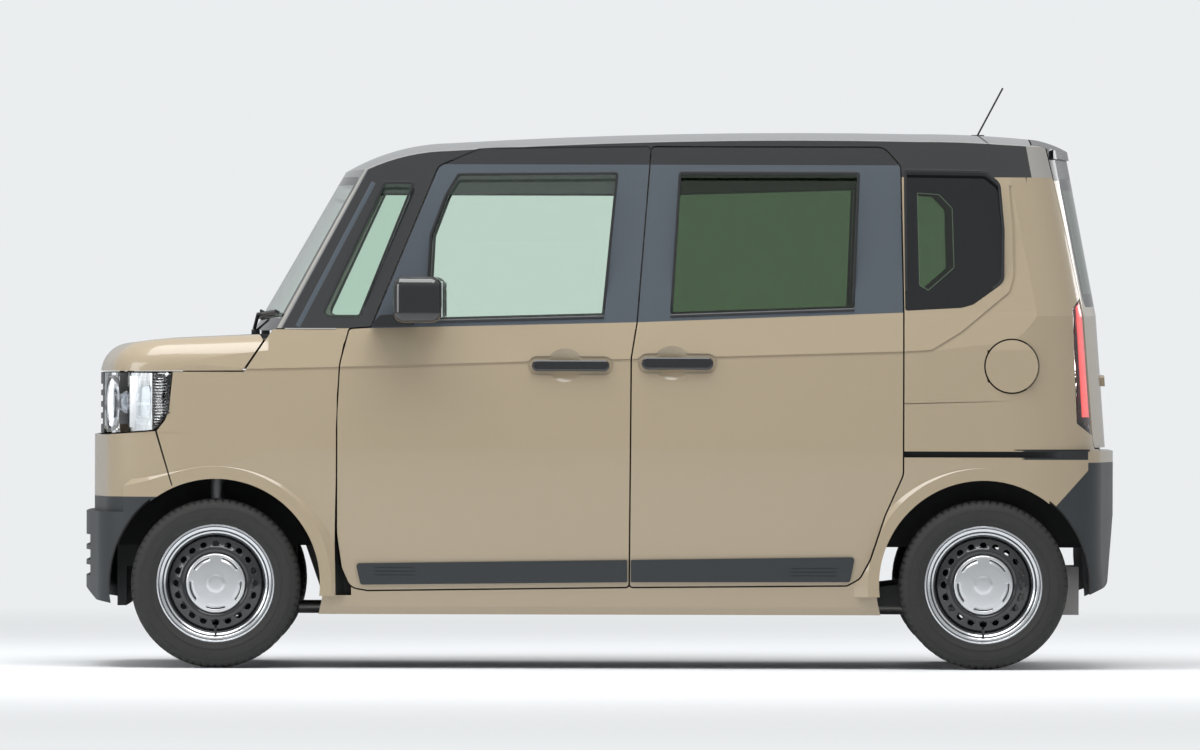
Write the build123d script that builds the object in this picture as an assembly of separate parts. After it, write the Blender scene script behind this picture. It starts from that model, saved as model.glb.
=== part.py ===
from build123d import *
import os
from math import cos, hypot, radians, sin, tan

# A tall four-door kei wagon, in millimetres: +X to the rear, +Y to the car's right, +Z up.
# The origin is on the floor, halfway between the axles.

# Whole car
LENGTH = 3395
WIDTH = 1475
ROOF_Z = 1766
WHEELBASE = 2520
TRACK = 1305
NOSE = -LENGTH / 2
TAIL = LENGTH / 2
HALF_WIDTH = WIDTH / 2
AXLE_FRONT = -WHEELBASE / 2
AXLE_REAR = WHEELBASE / 2

# Clearances
SHUT_GAP = 5
SEAL_GAP = 0.3
FAR = 2500

# Wheels, tyre size 155/65 R14
TYRE_R = 278.5
TYRE_WIDTH = 157
TREAD_HALF = 56
RIM_R = 178
FLANGE_R = 194
RIM_HALF = 62
BARREL_WALL = 5
DISC_FACE = 44
HUB_R = 66
HUB_FACE = 12
CAP_R = 98
DISC_HOLES = 20
DISC_HOLE_PITCH_R = 132
DISC_HOLE_WIDE = 22
DISC_HOLE_TALL = 15
CAP_SLOTS = 5
CAP_SLOT_R = 84
CAP_SLOT_WIDE = 4
CAP_SLOT_SPAN = 46

# Steering axis of the front wheels, leaning in at its top
BALL_JOINT_Y = 600
BALL_JOINT_Z = 185
STRUT_TOP_Y = 482
STRUT_TOP_Z = 930
STRUT_R = 20
BALL_R = 12
SPRING_R = 50

# Arches: opening radius in the skin, inside radius of the wheel housing
ARCH_R = 343
HOUSING_R = 352
FLARE_R = 380
FLARE_FOOT_R = 440
HOUSING_DEPTH_FRONT = 405
HOUSING_DEPTH_REAR = 540
LINER_WALL = 4

# Body sides: half-widths down the section, as distances in from the widest point
SILL_TUCK = 38
SILL_Z = 178
WAIST_Z = 700
CREASE_Z = 1010
BELT_Z = 1136
RAIL_Z = 1722
BELT_IN = 21
RAIL_IN = 116
LINE_RISE = 0.030
SKIN = 12
DOOR_DEPTH = 75
SASH_DEPTH = 34
DOOR_FLANGE = 24
SIDE_DEPTH = 97
PILLAR_DEPTH = 60

# Number plate bolts
PLATE_SPACING = 210
PLATE_BOLT_R = 3
PLATE_Z = 850

# Glass
GLASS = 5
GLASS_SET_IN = 5

# Windscreen: centre line from its foot to its head, bowed in plan
SCREEN_FOOT_X = -1114
SCREEN_FOOT_Z = 1167
SCREEN_HEAD_X = -836
SCREEN_HEAD_Z = 1647
SCREEN_BOW_R = 2600
SCREEN_LEAN = (SCREEN_HEAD_X - SCREEN_FOOT_X) / (SCREEN_HEAD_Z - SCREEN_FOOT_Z)

# Roof
ROOF_CROWN_R = 6300
ROOF_EDGE_Y = 588
ROOF_WALL = 34

# Rear
TAILGATE_DEPTH = 60


def rounded(corners):
    """Closed face from corners (u, v) or (u, v, corner radius)."""
    full = [tuple(corner) + (0,) * (3 - len(corner)) for corner in corners]
    count = len(full)
    turns = []
    for index, (u, v, radius) in enumerate(full):
        here = Vector(u, v)
        if not radius:
            turns.append((here, None, here))
            continue
        back = (Vector(*full[index - 1][:2]) - here).normalized()
        ahead = (Vector(*full[(index + 1) % count][:2]) - here).normalized()
        half = radians(back.get_angle(ahead)) / 2
        reach = radius / tan(half)
        inward = (back + ahead).normalized()
        middle = here + inward * (radius / sin(half) - radius)
        turns.append((here + back * reach, middle, here + ahead * reach))
    edges = []
    for index, (start, middle, end) in enumerate(turns):
        if middle is not None:
            edges.append(ThreePointArc(start, middle, end).edge())
        following = turns[(index + 1) % count][0]
        if (following - end).length > 0.01:
            edges.append(Line(end, following).edge())
    return make_face(edges)


def side_slab(corners, y_low, y_high):
    """Side-view outline (x, z, radius) between two distances across the car."""
    face = (Plane.XZ * rounded(corners)).moved(Location((0, y_low, 0)))
    return extrude(face, amount=y_high - y_low, dir=(0, 1, 0))


def front_slab(corners, x_low, x_high, rise=0.0):
    """Front-view outline (y, z, radius) between two distances along the car."""
    face = (Plane.YZ * rounded(corners)).moved(Location((x_low, 0, rise * x_low)))
    return extrude(face, amount=(x_high - x_low) * hypot(1, rise), dir=(1, 0, rise))


def plan_slab(corners, z_low, z_high, lean=0.0):
    """Plan outline (x, y, radius) between two heights, leaning to the rear."""
    face = rounded(corners).moved(Location((0, 0, z_low)))
    return extrude(face, amount=(z_high - z_low) * hypot(1, lean), dir=(lean, 0, 1))


def box(x_low, x_high, y_low, y_high, z_low, z_high):
    middle = ((x_low + x_high) / 2, (y_low + y_high) / 2, (z_low + z_high) / 2)
    return Location(middle) * Box(x_high - x_low, y_high - y_low, z_high - z_low)


def tube_y(x, z, radius, y_low, y_high):
    """Round bar across the car."""
    return Location((x, (y_low + y_high) / 2, z), (90, 0, 0)) * Cylinder(radius, y_high - y_low)


def rod(start, end, radius):
    """Round bar between two points."""
    axis = Vector(*end) - Vector(*start)
    plane = Plane(origin=start, z_dir=axis)
    return plane * Cylinder(radius, axis.length, align=(Align.CENTER, Align.CENTER, Align.MIN))


def twin(shape):
    """The shape on the left and its mirror image on the right."""
    return shape + mirror(shape, about=Plane.XZ)


def save(shape, node):
    export_step(shape, f"parts/{node}.step")


# Body sides


def side_outline(inset, z_shift=0.0):
    """Lower section of the left side, from the sill up: (y, z, radius)."""
    wide = HALF_WIDTH - inset
    bottom = 0 if inset else SILL_Z
    return [
        (-(wide - SILL_TUCK - 10), bottom),
        (-(wide - SILL_TUCK), SILL_Z + 25, 20),
        (-wide, WAIST_Z + z_shift, 1300),
        (-wide, ROOF_Z + 400),
    ]


def shoulder_outline(inset, upper_inset):
    """Section above the crease, which rises to the rear: (y, z, radius)."""
    wide = HALF_WIDTH - inset
    return [
        (-wide, 0),
        (-wide, CREASE_Z, 40),
        (-(HALF_WIDTH - BELT_IN - inset), BELT_Z - 10, 30),
        (-(HALF_WIDTH - BELT_IN - upper_inset - 2), BELT_Z, 0),
        (-(HALF_WIDTH - RAIL_IN - upper_inset), RAIL_Z),
        (-(HALF_WIDTH - RAIL_IN - upper_inset - 30), RAIL_Z + 300),
    ]


def side_volume(inset, upper_inset=None):
    """Everything between the two body sides, inset from the skin."""
    upper = inset if upper_inset is None else upper_inset
    low = side_outline(inset)
    low_right = [(-y, z, *rest) for y, z, *rest in reversed(low)]
    high = shoulder_outline(inset, upper)
    high_right = [(-y, z, *rest) for y, z, *rest in reversed(high)]
    lower = front_slab(low + low_right, -FAR, FAR)
    upper_part = front_slab(high + high_right, -FAR, FAR, LINE_RISE)
    return lower & upper_part


def bowed_face(x, radius, sign):
    """Plan region on the inner side of an arc bowed outwards: sign -1 for a front face, 1 for a rear one."""
    half = HALF_WIDTH + 60
    edge = x - sign * (radius - (radius ** 2 - half ** 2) ** 0.5)
    end = -sign * FAR
    return make_face([
        ThreePointArc((edge, -half), (x, 0), (edge, half)).edge(),
        Line((edge, half), (end, half)).edge(),
        Line((end, half), (end, -half)).edge(),
        Line((end, -half), (edge, -half)).edge(),
    ])


def screen_prism(inset):
    """Everything behind the bowed, leaning windscreen plane."""
    foot = SCREEN_FOOT_X + inset - SCREEN_LEAN * SCREEN_FOOT_Z
    face = bowed_face(foot, SCREEN_BOW_R, -1)
    return extrude(face, amount=FAR * hypot(1, SCREEN_LEAN), dir=(SCREEN_LEAN, 0, 1))


# Roof: its centre line as four arcs, with the same crown across the car all along
ROOF_PATH = (
    (-960, 1546), (-790, 1661), (-500, 1730),
    (250, 1762), (1040, 1764),
    (1240, 1760), (1440, 1745),
    (1505, 1726), (1600, 1668),
)


def roof_cut(inset):
    """Everything above the roof, to be taken away."""
    pts = [Vector(x, 0, z - inset) for x, z in ROOF_PATH]
    first = ThreePointArc(pts[0], pts[1], pts[2]).edge()
    second = ThreePointArc(pts[2], pts[3], pts[4]).edge()
    third = ThreePointArc(pts[4], pts[5], pts[6]).edge()
    fourth = ThreePointArc(pts[6], pts[7], pts[8]).edge()
    path = Wire([first, second, third, fourth])
    half = HALF_WIDTH + 200
    drop = ROOF_CROWN_R - (ROOF_CROWN_R ** 2 - half ** 2) ** 0.5
    across = [
        ThreePointArc((-half, -drop), (0, 0), (half, -drop)).edge(),
        Line((half, -drop), (half, 400)).edge(),
        Line((half, 400), (-half, 400)).edge(),
        Line((-half, 400), (-half, -drop)).edge(),
    ]
    start = Plane(origin=pts[0], x_dir=(0, 1, 0), z_dir=first % 0)
    return sweep(start * make_face(across), path=path, transition=Transition.RIGHT)


# Rear face: bumper, tailgate below the glass, glass
TAIL_LOWER_X = TAIL - 26
TAIL_LOWER_Z = 720
TAIL_WAIST_X = TAIL - 58
TAIL_WAIST_Z = 1162
TAIL_HEAD_X = TAIL - 142
TAIL_HEAD_Z = 1613
LOWER_LEAN = (TAIL_WAIST_X - TAIL_LOWER_X) / (TAIL_WAIST_Z - TAIL_LOWER_Z)
UPPER_LEAN = (TAIL_HEAD_X - TAIL_WAIST_X) / (TAIL_HEAD_Z - TAIL_WAIST_Z)
TUMBLE = (RAIL_IN - BELT_IN) / (RAIL_Z - BELT_Z)


def corner_outline(end_x, half, sign, far_y):
    """Left half of a rounded end in plan, with its corner turned into the side."""
    x = end_x
    return [
        (x, far_y),
        (x, -(half - 407), 1400),
        (x - sign * 62, -(half - 72), 150),
        (x - sign * 230, -half + 6, 500),
        (x - sign * 600, -half),
        (-sign * FAR, -half),
        (-sign * FAR, far_y),
    ]


def end_volume(end_x, inset, sign, z_low, z_high, lean=0.0, lean_in=0.0):
    """Everything on the body's side of an end face, its corners rounded, leaning as it rises."""
    outline = corner_outline(end_x - sign * inset, HALF_WIDTH - inset, sign, FAR)
    face = rounded(outline).moved(Location((0, 0, z_low)))
    length = (z_high - z_low) * (1 + lean ** 2 + lean_in ** 2) ** 0.5
    left = extrude(face, amount=length, dir=(lean, lean_in, 1))
    return left & mirror(left, about=Plane.XZ)


def tail_volume(inset):
    lower_start = TAIL_LOWER_X - LOWER_LEAN * TAIL_LOWER_Z
    lower = end_volume(lower_start, inset, 1, 0, ROOF_Z + 300, LOWER_LEAN)
    upper = end_volume(TAIL_WAIST_X, inset, 1, TAIL_WAIST_Z, ROOF_Z + 300, UPPER_LEAN, TUMBLE)
    below = box(-FAR, FAR, -FAR, FAR, 0, TAIL_WAIST_Z)
    return lower & (upper + below)


# Fenders and arches
FENDER_END_X = -866
FENDER_TURN_X = -1088
FLARE_RUN = 44
LIP_DEPTH = 16

# Nose: three bands, each with its own front face
SKIRT_TOP_Z = 562
LAMP_LOW_Z = 769
LAMP_TOP_Z = 968
BUMPER_SET_BACK = 27
SKIRT_LEDGE_Z = 512
LAMP_SET_BACK = 47
BONNET_ROUND = 100
COWL_X = -1105


def nose_volume(inset):
    skirt = end_volume(NOSE, inset, -1, 150, SKIRT_LEDGE_Z - inset)
    skirt = skirt + end_volume(NOSE + BUMPER_SET_BACK, inset, -1, SKIRT_LEDGE_Z - inset, SKIRT_TOP_Z)
    bumper = end_volume(NOSE + BUMPER_SET_BACK, inset, -1, SKIRT_TOP_Z, LAMP_LOW_Z)
    crown = end_volume(NOSE + LAMP_SET_BACK, inset, -1, LAMP_LOW_Z, 1400)
    top = side_slab([
        (NOSE - 100, LAMP_LOW_Z - 40),
        (NOSE - 100, 1034 - inset),
        (-1440, 1081 - inset, 900),
        (COWL_X + 60, 1099 - inset),
        (COWL_X + 60, LAMP_LOW_Z - 40),
    ], -FAR, FAR)
    crown = crown & top & box(-FAR, COWL_X + 60, -FAR, FAR, 0, FAR)
    rim = crown.edges().filter_by(lambda edge: edge.center().Z > 1000 and edge.center().X < COWL_X + 40)
    crown = fillet(rim, BONNET_ROUND - inset)
    front = skirt + bumper
    front = front & box(-FAR, FENDER_END_X, -FAR, FAR, 0, FAR)
    return front + crown


def nose_lip():
    """Undercut below the front skirt and the rear bumper, to be taken away."""
    front = side_slab([(NOSE - 50, 100), (NOSE - 50, 262), (NOSE, 262), (NOSE + 42, 222), (NOSE + 110, 208),
                       (NOSE + 240, 190), (NOSE + 240, 100)], -FAR, FAR)
    rear = side_slab([(TAIL + 50, 100), (TAIL + 50, 500), (TAIL - 3, 500), (TAIL - 26, 275, 30),
                      (TAIL - 110, 236),
                      (TAIL - 300, 205), (TAIL - 300, 100)], -FAR, FAR)
    return front + rear


def cabin_volume(inset, side_inset, upper_inset, roof_inset):
    """The body from the windscreen to the tail, above the sills."""
    sides = side_volume(side_inset, upper_inset)
    cabin = sides & screen_prism(inset) & tail_volume(inset)
    low = box(FENDER_END_X, FAR, -FAR, FAR, 0, FAR)
    high = box(-1250, FAR, -FAR, FAR, 1094, FAR)
    bumper = end_volume(TAIL, inset, 1, 100, TAIL_LOWER_Z) & sides & box(900, FAR, -FAR, FAR, 0, FAR)
    return (cabin & (low + high)) + bumper - roof_cut(roof_inset) - nose_lip()


def flare(x, end_x, sign):
    """Soft swelling round a wheel arch, no wider than the widest point of the body."""
    half = HALF_WIDTH - FLARE_RUN
    cone = Cone(FLARE_FOOT_R, FLARE_R, FLARE_RUN, align=(Align.CENTER, Align.CENTER, Align.MIN))
    left = Location((x, -half, TYRE_R), (90, 0, 0)) * cone
    left = left & end_volume(end_x, 0, sign, 0, ROOF_Z) & box(-FAR, FAR, -FAR, FAR, SILL_Z + 60, FAR)
    return left


def wheel_well(x, depth):
    """Room for a wheel on the left: the housing, and the smaller opening in the skin."""
    housing = tube_y(x, TYRE_R, HOUSING_R, -(HALF_WIDTH - LIP_DEPTH), -depth)
    opening = tube_y(x, TYRE_R, ARCH_R, -HALF_WIDTH - 60, -depth)
    return housing + opening


# Wheels


def wheel_profile_tyre():
    """Half section of the tyre, (radius, distance from the wheel's middle), as a closed ring."""
    half = TYRE_WIDTH / 2
    outer = [(TYRE_R, TREAD_HALF), (TYRE_R - 12, half - 7), (TYRE_R - 42, half), (RIM_R + 24, half - 12)]
    bead = [(RIM_R + SEAL_GAP, RIM_HALF - 1), (RIM_R + SEAL_GAP, RIM_HALF - 17),
            (TYRE_R - 16, TREAD_HALF + 4)]
    side = outer + bead
    return side + [(radius, -y) for radius, y in reversed(side)]


def turned(profile, x, y, z):
    """Ring turned about a wheel's axle, from (radius, sideways) corners."""
    face = Plane.XY * rounded([(corner[0], *corner[1:]) for corner in profile])
    ring = revolve(face, Axis.Y)
    return Location((x, y, z)) * ring


def make_tyre(x, y):
    return turned(wheel_profile_tyre(), x, y, TYRE_R)


def make_rim(x, y, outward):
    """Pressed steel wheel: barrel with two flanges, dished disc with round holes, and a snap-on cap."""
    seat = RIM_R - BARREL_WALL
    barrel = [
        (FLANGE_R, RIM_HALF + 8), (FLANGE_R, RIM_HALF + 3), (RIM_R, RIM_HALF - 1), (RIM_R, 34),
        (RIM_R - 16, 22), (RIM_R - 16, -22), (RIM_R, -34), (RIM_R, -RIM_HALF + 1),
        (FLANGE_R, -RIM_HALF - 3), (FLANGE_R, -RIM_HALF - 8), (RIM_R - 3, -RIM_HALF - 3),
        (seat, -RIM_HALF + 1),
        (seat, -34), (RIM_R - 16 - BARREL_WALL, -22), (RIM_R - 16 - BARREL_WALL, 22), (seat, 34),
        (seat, RIM_HALF - 1), (RIM_R - 3, RIM_HALF + 3),
    ]
    disc = [
        (RIM_R - 17, DISC_FACE - 20), (RIM_R - 17, DISC_FACE - 12), (150, DISC_FACE - 2),
        (118, DISC_FACE + 2),
        (92, DISC_FACE - 6), (70, HUB_FACE + 6), (20, HUB_FACE + 6), (20, HUB_FACE), (74, HUB_FACE),
        (96, DISC_FACE - 12), (118, DISC_FACE - 4), (148, DISC_FACE - 8),
    ]
    wheel = turned(barrel, 0, 0, 0) + turned(disc, 0, 0, 0)
    oval = extrude(Ellipse(DISC_HOLE_WIDE / 2, DISC_HOLE_TALL / 2), amount=80)
    holes = [
        Rotation(0, turn * 360 / DISC_HOLES, 0) * (Location((DISC_HOLE_PITCH_R, 80, 0), (90, 90, 0)) * oval)
        for turn in range(DISC_HOLES)
    ]
    wheel = wheel - holes
    foot = DISC_FACE + 2 - (118 - CAP_R) * 8 / 26 + SEAL_GAP
    cap = turned([(0, DISC_FACE + 8), (30, DISC_FACE + 8), (92, DISC_FACE + 6), (CAP_R, DISC_FACE + 2.5),
                  (CAP_R, foot), (CAP_R - 3, foot - 0.6), (92, DISC_FACE + 2.5), (30, DISC_FACE + 4.5),
                  (0, DISC_FACE + 4.5)], 0, 0, 0)
    ring = Rotation(90, 0, 0) * (Cylinder(CAP_SLOT_R + CAP_SLOT_WIDE / 2, 200)
                                 - Cylinder(CAP_SLOT_R - CAP_SLOT_WIDE / 2, 210))
    reach = CAP_R * tan(radians(CAP_SLOT_SPAN / 2))
    wedge = side_slab([(0, 0), (reach, -CAP_R), (-reach, -CAP_R)], 0, 90)
    slots = [Rotation(0, turn * 360 / CAP_SLOTS, 0) * (ring & wedge) for turn in range(CAP_SLOTS)]
    wheel = wheel + [cap - slots]
    if outward < 0:
        wheel = mirror(wheel, about=Plane.XZ)
    return Location((x, y, TYRE_R)) * wheel


# Doors: outlines in side view


def front_door_outline(shrink=0.0):
    """Front door, hinged at its front edge: (x, z, radius)."""
    return [
        (-761 + shrink, 258 + shrink, 12), (-817 + shrink, 268 + shrink, 40), (-845 + shrink, 330, 60),
        (-861 + shrink, 440, 300), (-861 + shrink, 835, 300), (-852 + shrink, 1000, 200),
        (-822 + shrink, 1113 - shrink, 12), (-750 + shrink, 1118 - shrink, 8),
        (-530 + shrink, 1648 - shrink, 30), (-394 + shrink, 1706 - shrink, 80),
        (164 - shrink, 1713 - shrink, 12), (159 - shrink, 1642), (119 - shrink, 1139),
        (100 - shrink, 1021, 60),
        (95 - shrink, 270 + shrink, 10),
    ]


def sliding_door_outline(shrink=0.0):
    gap = SHUT_GAP
    return [
        (95 + gap + shrink, 270 + shrink, 10), (100 + gap + shrink, 1021, 60), (119 + gap + shrink, 1139),
        (159 + gap + shrink, 1642), (164 + gap + shrink, 1713 - shrink, 12),
        (930 - shrink, 1713 - shrink, 50),
        (984 - shrink, 1652 - shrink, 30), (994 - shrink, 1172), (994 - shrink, 640, 60),
        (935 - shrink, 508, 200), (886 - shrink, 361, 60), (853 - shrink, 300, 30),
        (812 - shrink, 277 + shrink, 12),
    ]


FRONT_WINDOW = [(-468, 1627, 10), (-511, 1556, 30), (-561, 1424, 60), (-568, 1290, 60), (-562, 1142, 12),
                (14, 1158, 12), (60, 1632, 14)]
SLIDING_WINDOW = [(257, 1634, 14), (852, 1634, 14), (835, 1184, 14), (229, 1162, 14)]
QUARTER_WINDOW = [(1001, 1178, 8), (1187, 1188, 60), (1225, 1199, 30), (1326, 1272, 50), (1327, 1445, 200),
                  (1313, 1598, 40), (1264, 1640, 40), (996, 1644, 8)]
CORNER_WINDOW = [(-920, 1150, 25), (-712, 1600, 16), (-606, 1600, 16), (-787, 1150, 20)]


def side_cut(points, y_low, y_high, grow=0.0):
    """Side-view outline, grown all round by a distance."""
    face = rounded(points)
    if grow:
        face = offset(face, amount=grow, kind=Kind.INTERSECTION)
    placed = (Plane.XZ * face).moved(Location((0, y_low, 0)))
    return extrude(placed, amount=y_high - y_low, dir=(0, 1, 0))


def side_groove(line, width, depth):
    """Groove along a side-view line of (x, z), cut to a depth below the body sides."""
    points = [Vector(x, z) for x, z in line]
    low, high = [], []
    for index, here in enumerate(points):
        before = points[max(index - 1, 0)]
        after = points[min(index + 1, len(points) - 1)]
        along = (after - before).normalized()
        across = Vector(-along.Y, along.X) * (width / 2)
        low.append(((here - across).X, (here - across).Y))
        high.append(((here + across).X, (here + across).Y))
    band = side_slab(low + high[::-1], -HALF_WIDTH - 60, HALF_WIDTH + 60)
    return band - side_volume(depth)


# Lines pressed into the body sides: (x, z)
CREASE_LINE = [(-1166, 977), (-853, 985), (-236, 1004), (459, 1024), (994, 1040), (1090, 1046), (1190, 1108),
               (1345, 1238), (1361, 1290), (1358, 1440), (1346, 1590)]
QUARTER_LINE = [(990, 873), (1580, 888)]
CREASE_WIDTH = 9
CREASE_DEPTH = 3.5
LINE_WIDTH = 3.5
LINE_DEPTH = 5
SLOT_LOW_Z = 697
SLOT_HIGH_Z = 717
SLOT_END_X = 1604
SLOT_DEPTH = 24

# Outlines of the panels in side view

LAMP = [(NOSE - 60, 769), (-1627, 769), (-1462, 782, 20), (-1432, 815, 20), (-1419, 845, 30), (-1405, 968),
        (NOSE - 60, 968)]
FENDER = [(-1401, 972), (-1414, 846, 30), (-1427, 812, 20), (-1454, 778), (-1402, 600), (-1402, 170),
          (FENDER_END_X, 170), (FENDER_END_X, 790), (-857, 1000, 200), (-827, 1112), (-1074, 1112),
          (-1084, 1097), (-1168, 972, 8)]
BONNET = [(NOSE - 60, 973), (-1173, 977, 8), (-1089, 1101), (-1060, 1160), (-1060, 1300), (NOSE - 60, 1300)]
BUMPER = [(NOSE - 60, SKIRT_TOP_Z), (-1300, SKIRT_TOP_Z), (-1406, 600), (-1460, 777), (-1627, 764.5),
          (NOSE - 60, 764.5)]
TAIL_LAMP = [(1551, 1185), (1566, 809), (1620, 768), (TAIL + 60, 768), (TAIL + 60, 1252), (1598, 1252)]
REAR_SKIRT = [(TAIL + 60, 681), (1604, 681), (1604, 655), (1495, 535), (1300, 400), (1300, 100),
              (TAIL + 60, 100)]
REAR_BUMPER_TOP_Z = 717
TAILGATE = [(-592, 724, 40), (-600, 1162), (-562, 1640), (-548, 1830), (548, 1830), (562, 1640), (600, 1162),
            (592, 724, 40)]
TAILGATE_WINDOW = [(-556, 1192, 40), (-522, 1612, 40), (522, 1612, 40), (556, 1192, 40)]
LAMP_INNER_Y = 402

# Headlamp: ribbed end piece, block beside it, round unit in front
LAMP_GROOVE = 7
BLOCK_START_X = -1543
RIB_START_X = -1466
RIB_END_X = -1424
RIB_LOW_Z = 800
RIB_PITCH = 9.6
RIB_COUNT = 16
RING_Y = 545
RING_Z = 868
RING_R = 84

# Grille slots and the skirt's air intake
GRILLE_SLOT_Y = 372
GRILLE_SLOT = 20
GRILLE_SLOT_HEIGHTS = (796, 834, 872, 910)
INTAKE_Y = 430
INTAKE_SLOT = 34
INTAKE_HEIGHTS = (300, 350, 400)

# Tail lamp light bar (x, z), the tailgate's plate recess and grip (y, z)
LIGHT_BAR = [(1590, 1205, 3), (1605, 1205, 3), (1637, 830, 3), (1611, 830, 3)]
LIGHT_BAR_INNER_Y = 640
LIGHT_BAR_DEPTH = 7
PLATE_RECESS = [(-205, 770, 14), (-205, 925, 14), (205, 925, 14), (205, 770, 14)]
PLATE_RECESS_DEPTH = 9
GRIP = [(-260, 930, 10), (-260, 966, 10), (260, 966, 10), (260, 930, 10)]
GRIP_PROUD = 14
LAMP_DEPTH = 110
TAIL_LAMP_INNER_Y = 606
TAIL_LAMP_DEPTH = 60
BONNET_END_X = SCREEN_FOOT_X - 88
ROOF_END_X = 1414


def behind_arc(x):
    """Everything behind a plan arc that runs with the windscreen's foot."""
    return extrude(bowed_face(x, SCREEN_BOW_R, -1), amount=FAR, dir=(0, 0, 1))


def left_of(shape):
    return shape & box(-FAR, FAR, -FAR, 0, -FAR, FAR)


def make_body():
    """Every panel of the body that is cut from its outer form, by node name."""
    left_flares = flare(AXLE_FRONT, NOSE, -1) + flare(AXLE_REAR, TAIL, 1)
    flares = left_flares + mirror(left_flares, about=Plane.XZ)
    left_wells = wheel_well(AXLE_FRONT, HOUSING_DEPTH_FRONT) + wheel_well(AXLE_REAR, HOUSING_DEPTH_REAR)
    wells = left_wells + mirror(left_wells, about=Plane.XZ)
    ahead = box(-FAR, FENDER_END_X, -FAR, FAR, 0, FAR)

    nose_sides = side_volume(0)
    nose = (nose_volume(0) & nose_sides) - nose_lip() + (flares & ahead)
    hollow = nose_volume(SKIN) & side_volume(SKIN)
    nose_shell = nose - hollow - wells
    cabin = cabin_volume(0, 0, 0, 0) + (flares - ahead)
    room = cabin_volume(TAILGATE_DEPTH, SIDE_DEPTH, PILLAR_DEPTH, ROOF_WALL)
    cabin_shell = cabin - room - wells
    nodes = {}

    # Nose
    span = (-HALF_WIDTH - 60, HALF_WIDTH + 60)
    bonnet = (nose_shell & side_slab(BONNET, *span)) - behind_arc(BONNET_END_X)
    nodes["bonnet"] = bonnet
    front_bumper = nose_shell & side_slab(BUMPER, *span)
    nodes["front_bumper"] = front_bumper
    skirt_end = box(-FAR, -1440, -FAR, FAR, 0, SKIRT_TOP_Z)
    intakes = [box(-FAR, -1500, -INTAKE_Y, INTAKE_Y, z, z + INTAKE_SLOT) for z in INTAKE_HEIGHTS]
    nodes["front_bumper_skirt"] = (nose_shell & skirt_end) - intakes
    lamp_depth = nose - end_volume(NOSE + LAMP_SET_BACK, LAMP_DEPTH, -1, 0, 1400)
    lamp = lamp_depth & side_slab(LAMP, -HALF_WIDTH - 60, -LAMP_INNER_Y)
    lamp = lamp - headlamp_cuts()
    nodes["headlamps"] = twin(lamp)
    between_lamps = box(-FAR, -1500, -LAMP_INNER_Y + SEAL_GAP, LAMP_INNER_Y - SEAL_GAP, LAMP_LOW_Z,
                        LAMP_TOP_Z)
    grille = (nose - end_volume(NOSE + LAMP_SET_BACK, 30, -1, 0, 1400)) & between_lamps
    slots = [box(-FAR, -1500, -GRILLE_SLOT_Y, GRILLE_SLOT_Y, z, z + GRILLE_SLOT) for z in GRILLE_SLOT_HEIGHTS]
    nodes["front_grille"] = grille - slots
    corner = box(FENDER_TURN_X, FENDER_END_X + 80, -FAR, 0, LAMP_LOW_Z, FAR)
    shoulder = left_of(side_volume(0) - side_volume(SKIN)) & corner
    fender = (left_of(nose_shell) - corner + shoulder) & side_slab(FENDER, *span)
    nodes["front_fenders"] = twin(fender) - front_bumper - box(-1250, FAR, -640, 640, 1040, FAR)
    cowl_band = (nose_volume(0) - nose_volume(14)) & behind_arc(BONNET_END_X + SHUT_GAP)
    cowl = (cowl_band & nose_sides) - screen_prism(0) - side_slab(FENDER, *span)
    nodes["cowl"] = cowl & box(-FAR, FAR, -640, 640, 1060, FAR)

    # Sides
    edge = ROOF_EDGE_Y + SEAL_GAP
    side = cabin_shell & (box(-FAR, FAR, -FAR, -edge, 0, FAR)
                          + box(ROOF_END_X + SEAL_GAP, FAR, -FAR, -480, 0, FAR))
    for outline, gap in ((front_door_outline(), SHUT_GAP), (sliding_door_outline(), SEAL_GAP)):
        door_step = side_volume(DOOR_DEPTH + gap, SASH_DEPTH + gap)
        outer_cut = side_cut(outline, *span, SHUT_GAP) - door_step
        inner_cut = side_cut(outline, *span, -28)
        side = side - outer_cut - inner_cut
    lamp_cut = side_slab(TAIL_LAMP, -HALF_WIDTH - 60, -480)
    quarter_cut = side_cut(QUARTER_WINDOW, -HALF_WIDTH - 60, -400)
    corner_cut = side_cut(CORNER_WINDOW, -HALF_WIDTH - 60, -400)
    tail_cut = front_slab(TAILGATE, 1300, FAR)
    side = side - (side_slab(FENDER, *span) - side_volume(SKIN + SEAL_GAP))
    side = side - lamp_cut - quarter_cut - corner_cut - tail_cut - front_slab(SCREEN_OPENING, -FAR, -300)
    rear_skirt = side_slab(REAR_SKIRT, *span)
    rear_bumper_zone = box(SLOT_END_X, FAR, -FAR, FAR, 0, REAR_BUMPER_TOP_Z)
    upper = side_slab([(-1300, 1116), (989, 1116), (989, 1617), (TAIL, 1617), (TAIL, 2000), (-1300, 2000)],
                      *span)
    lower = (side & box(FENDER_END_X, FAR, -FAR, 0, 0, FAR)) - upper - rear_skirt - rear_bumper_zone
    nodes["side_frames"] = twin(lower)
    nodes["roof_rails"] = twin(side & upper)
    nodes["corner_glasses"] = twin(
        (left_of(cabin) - side_volume(GLASS + 1, GLASS + 1)) & side_cut(CORNER_WINDOW, *span, -SEAL_GAP)
    )
    nodes["rear_side_glasses"] = twin(
        (left_of(cabin) - side_volume(GLASS + 1, GLASS + 1)) & side_cut(QUARTER_WINDOW, *span, -SEAL_GAP)
    )

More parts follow.
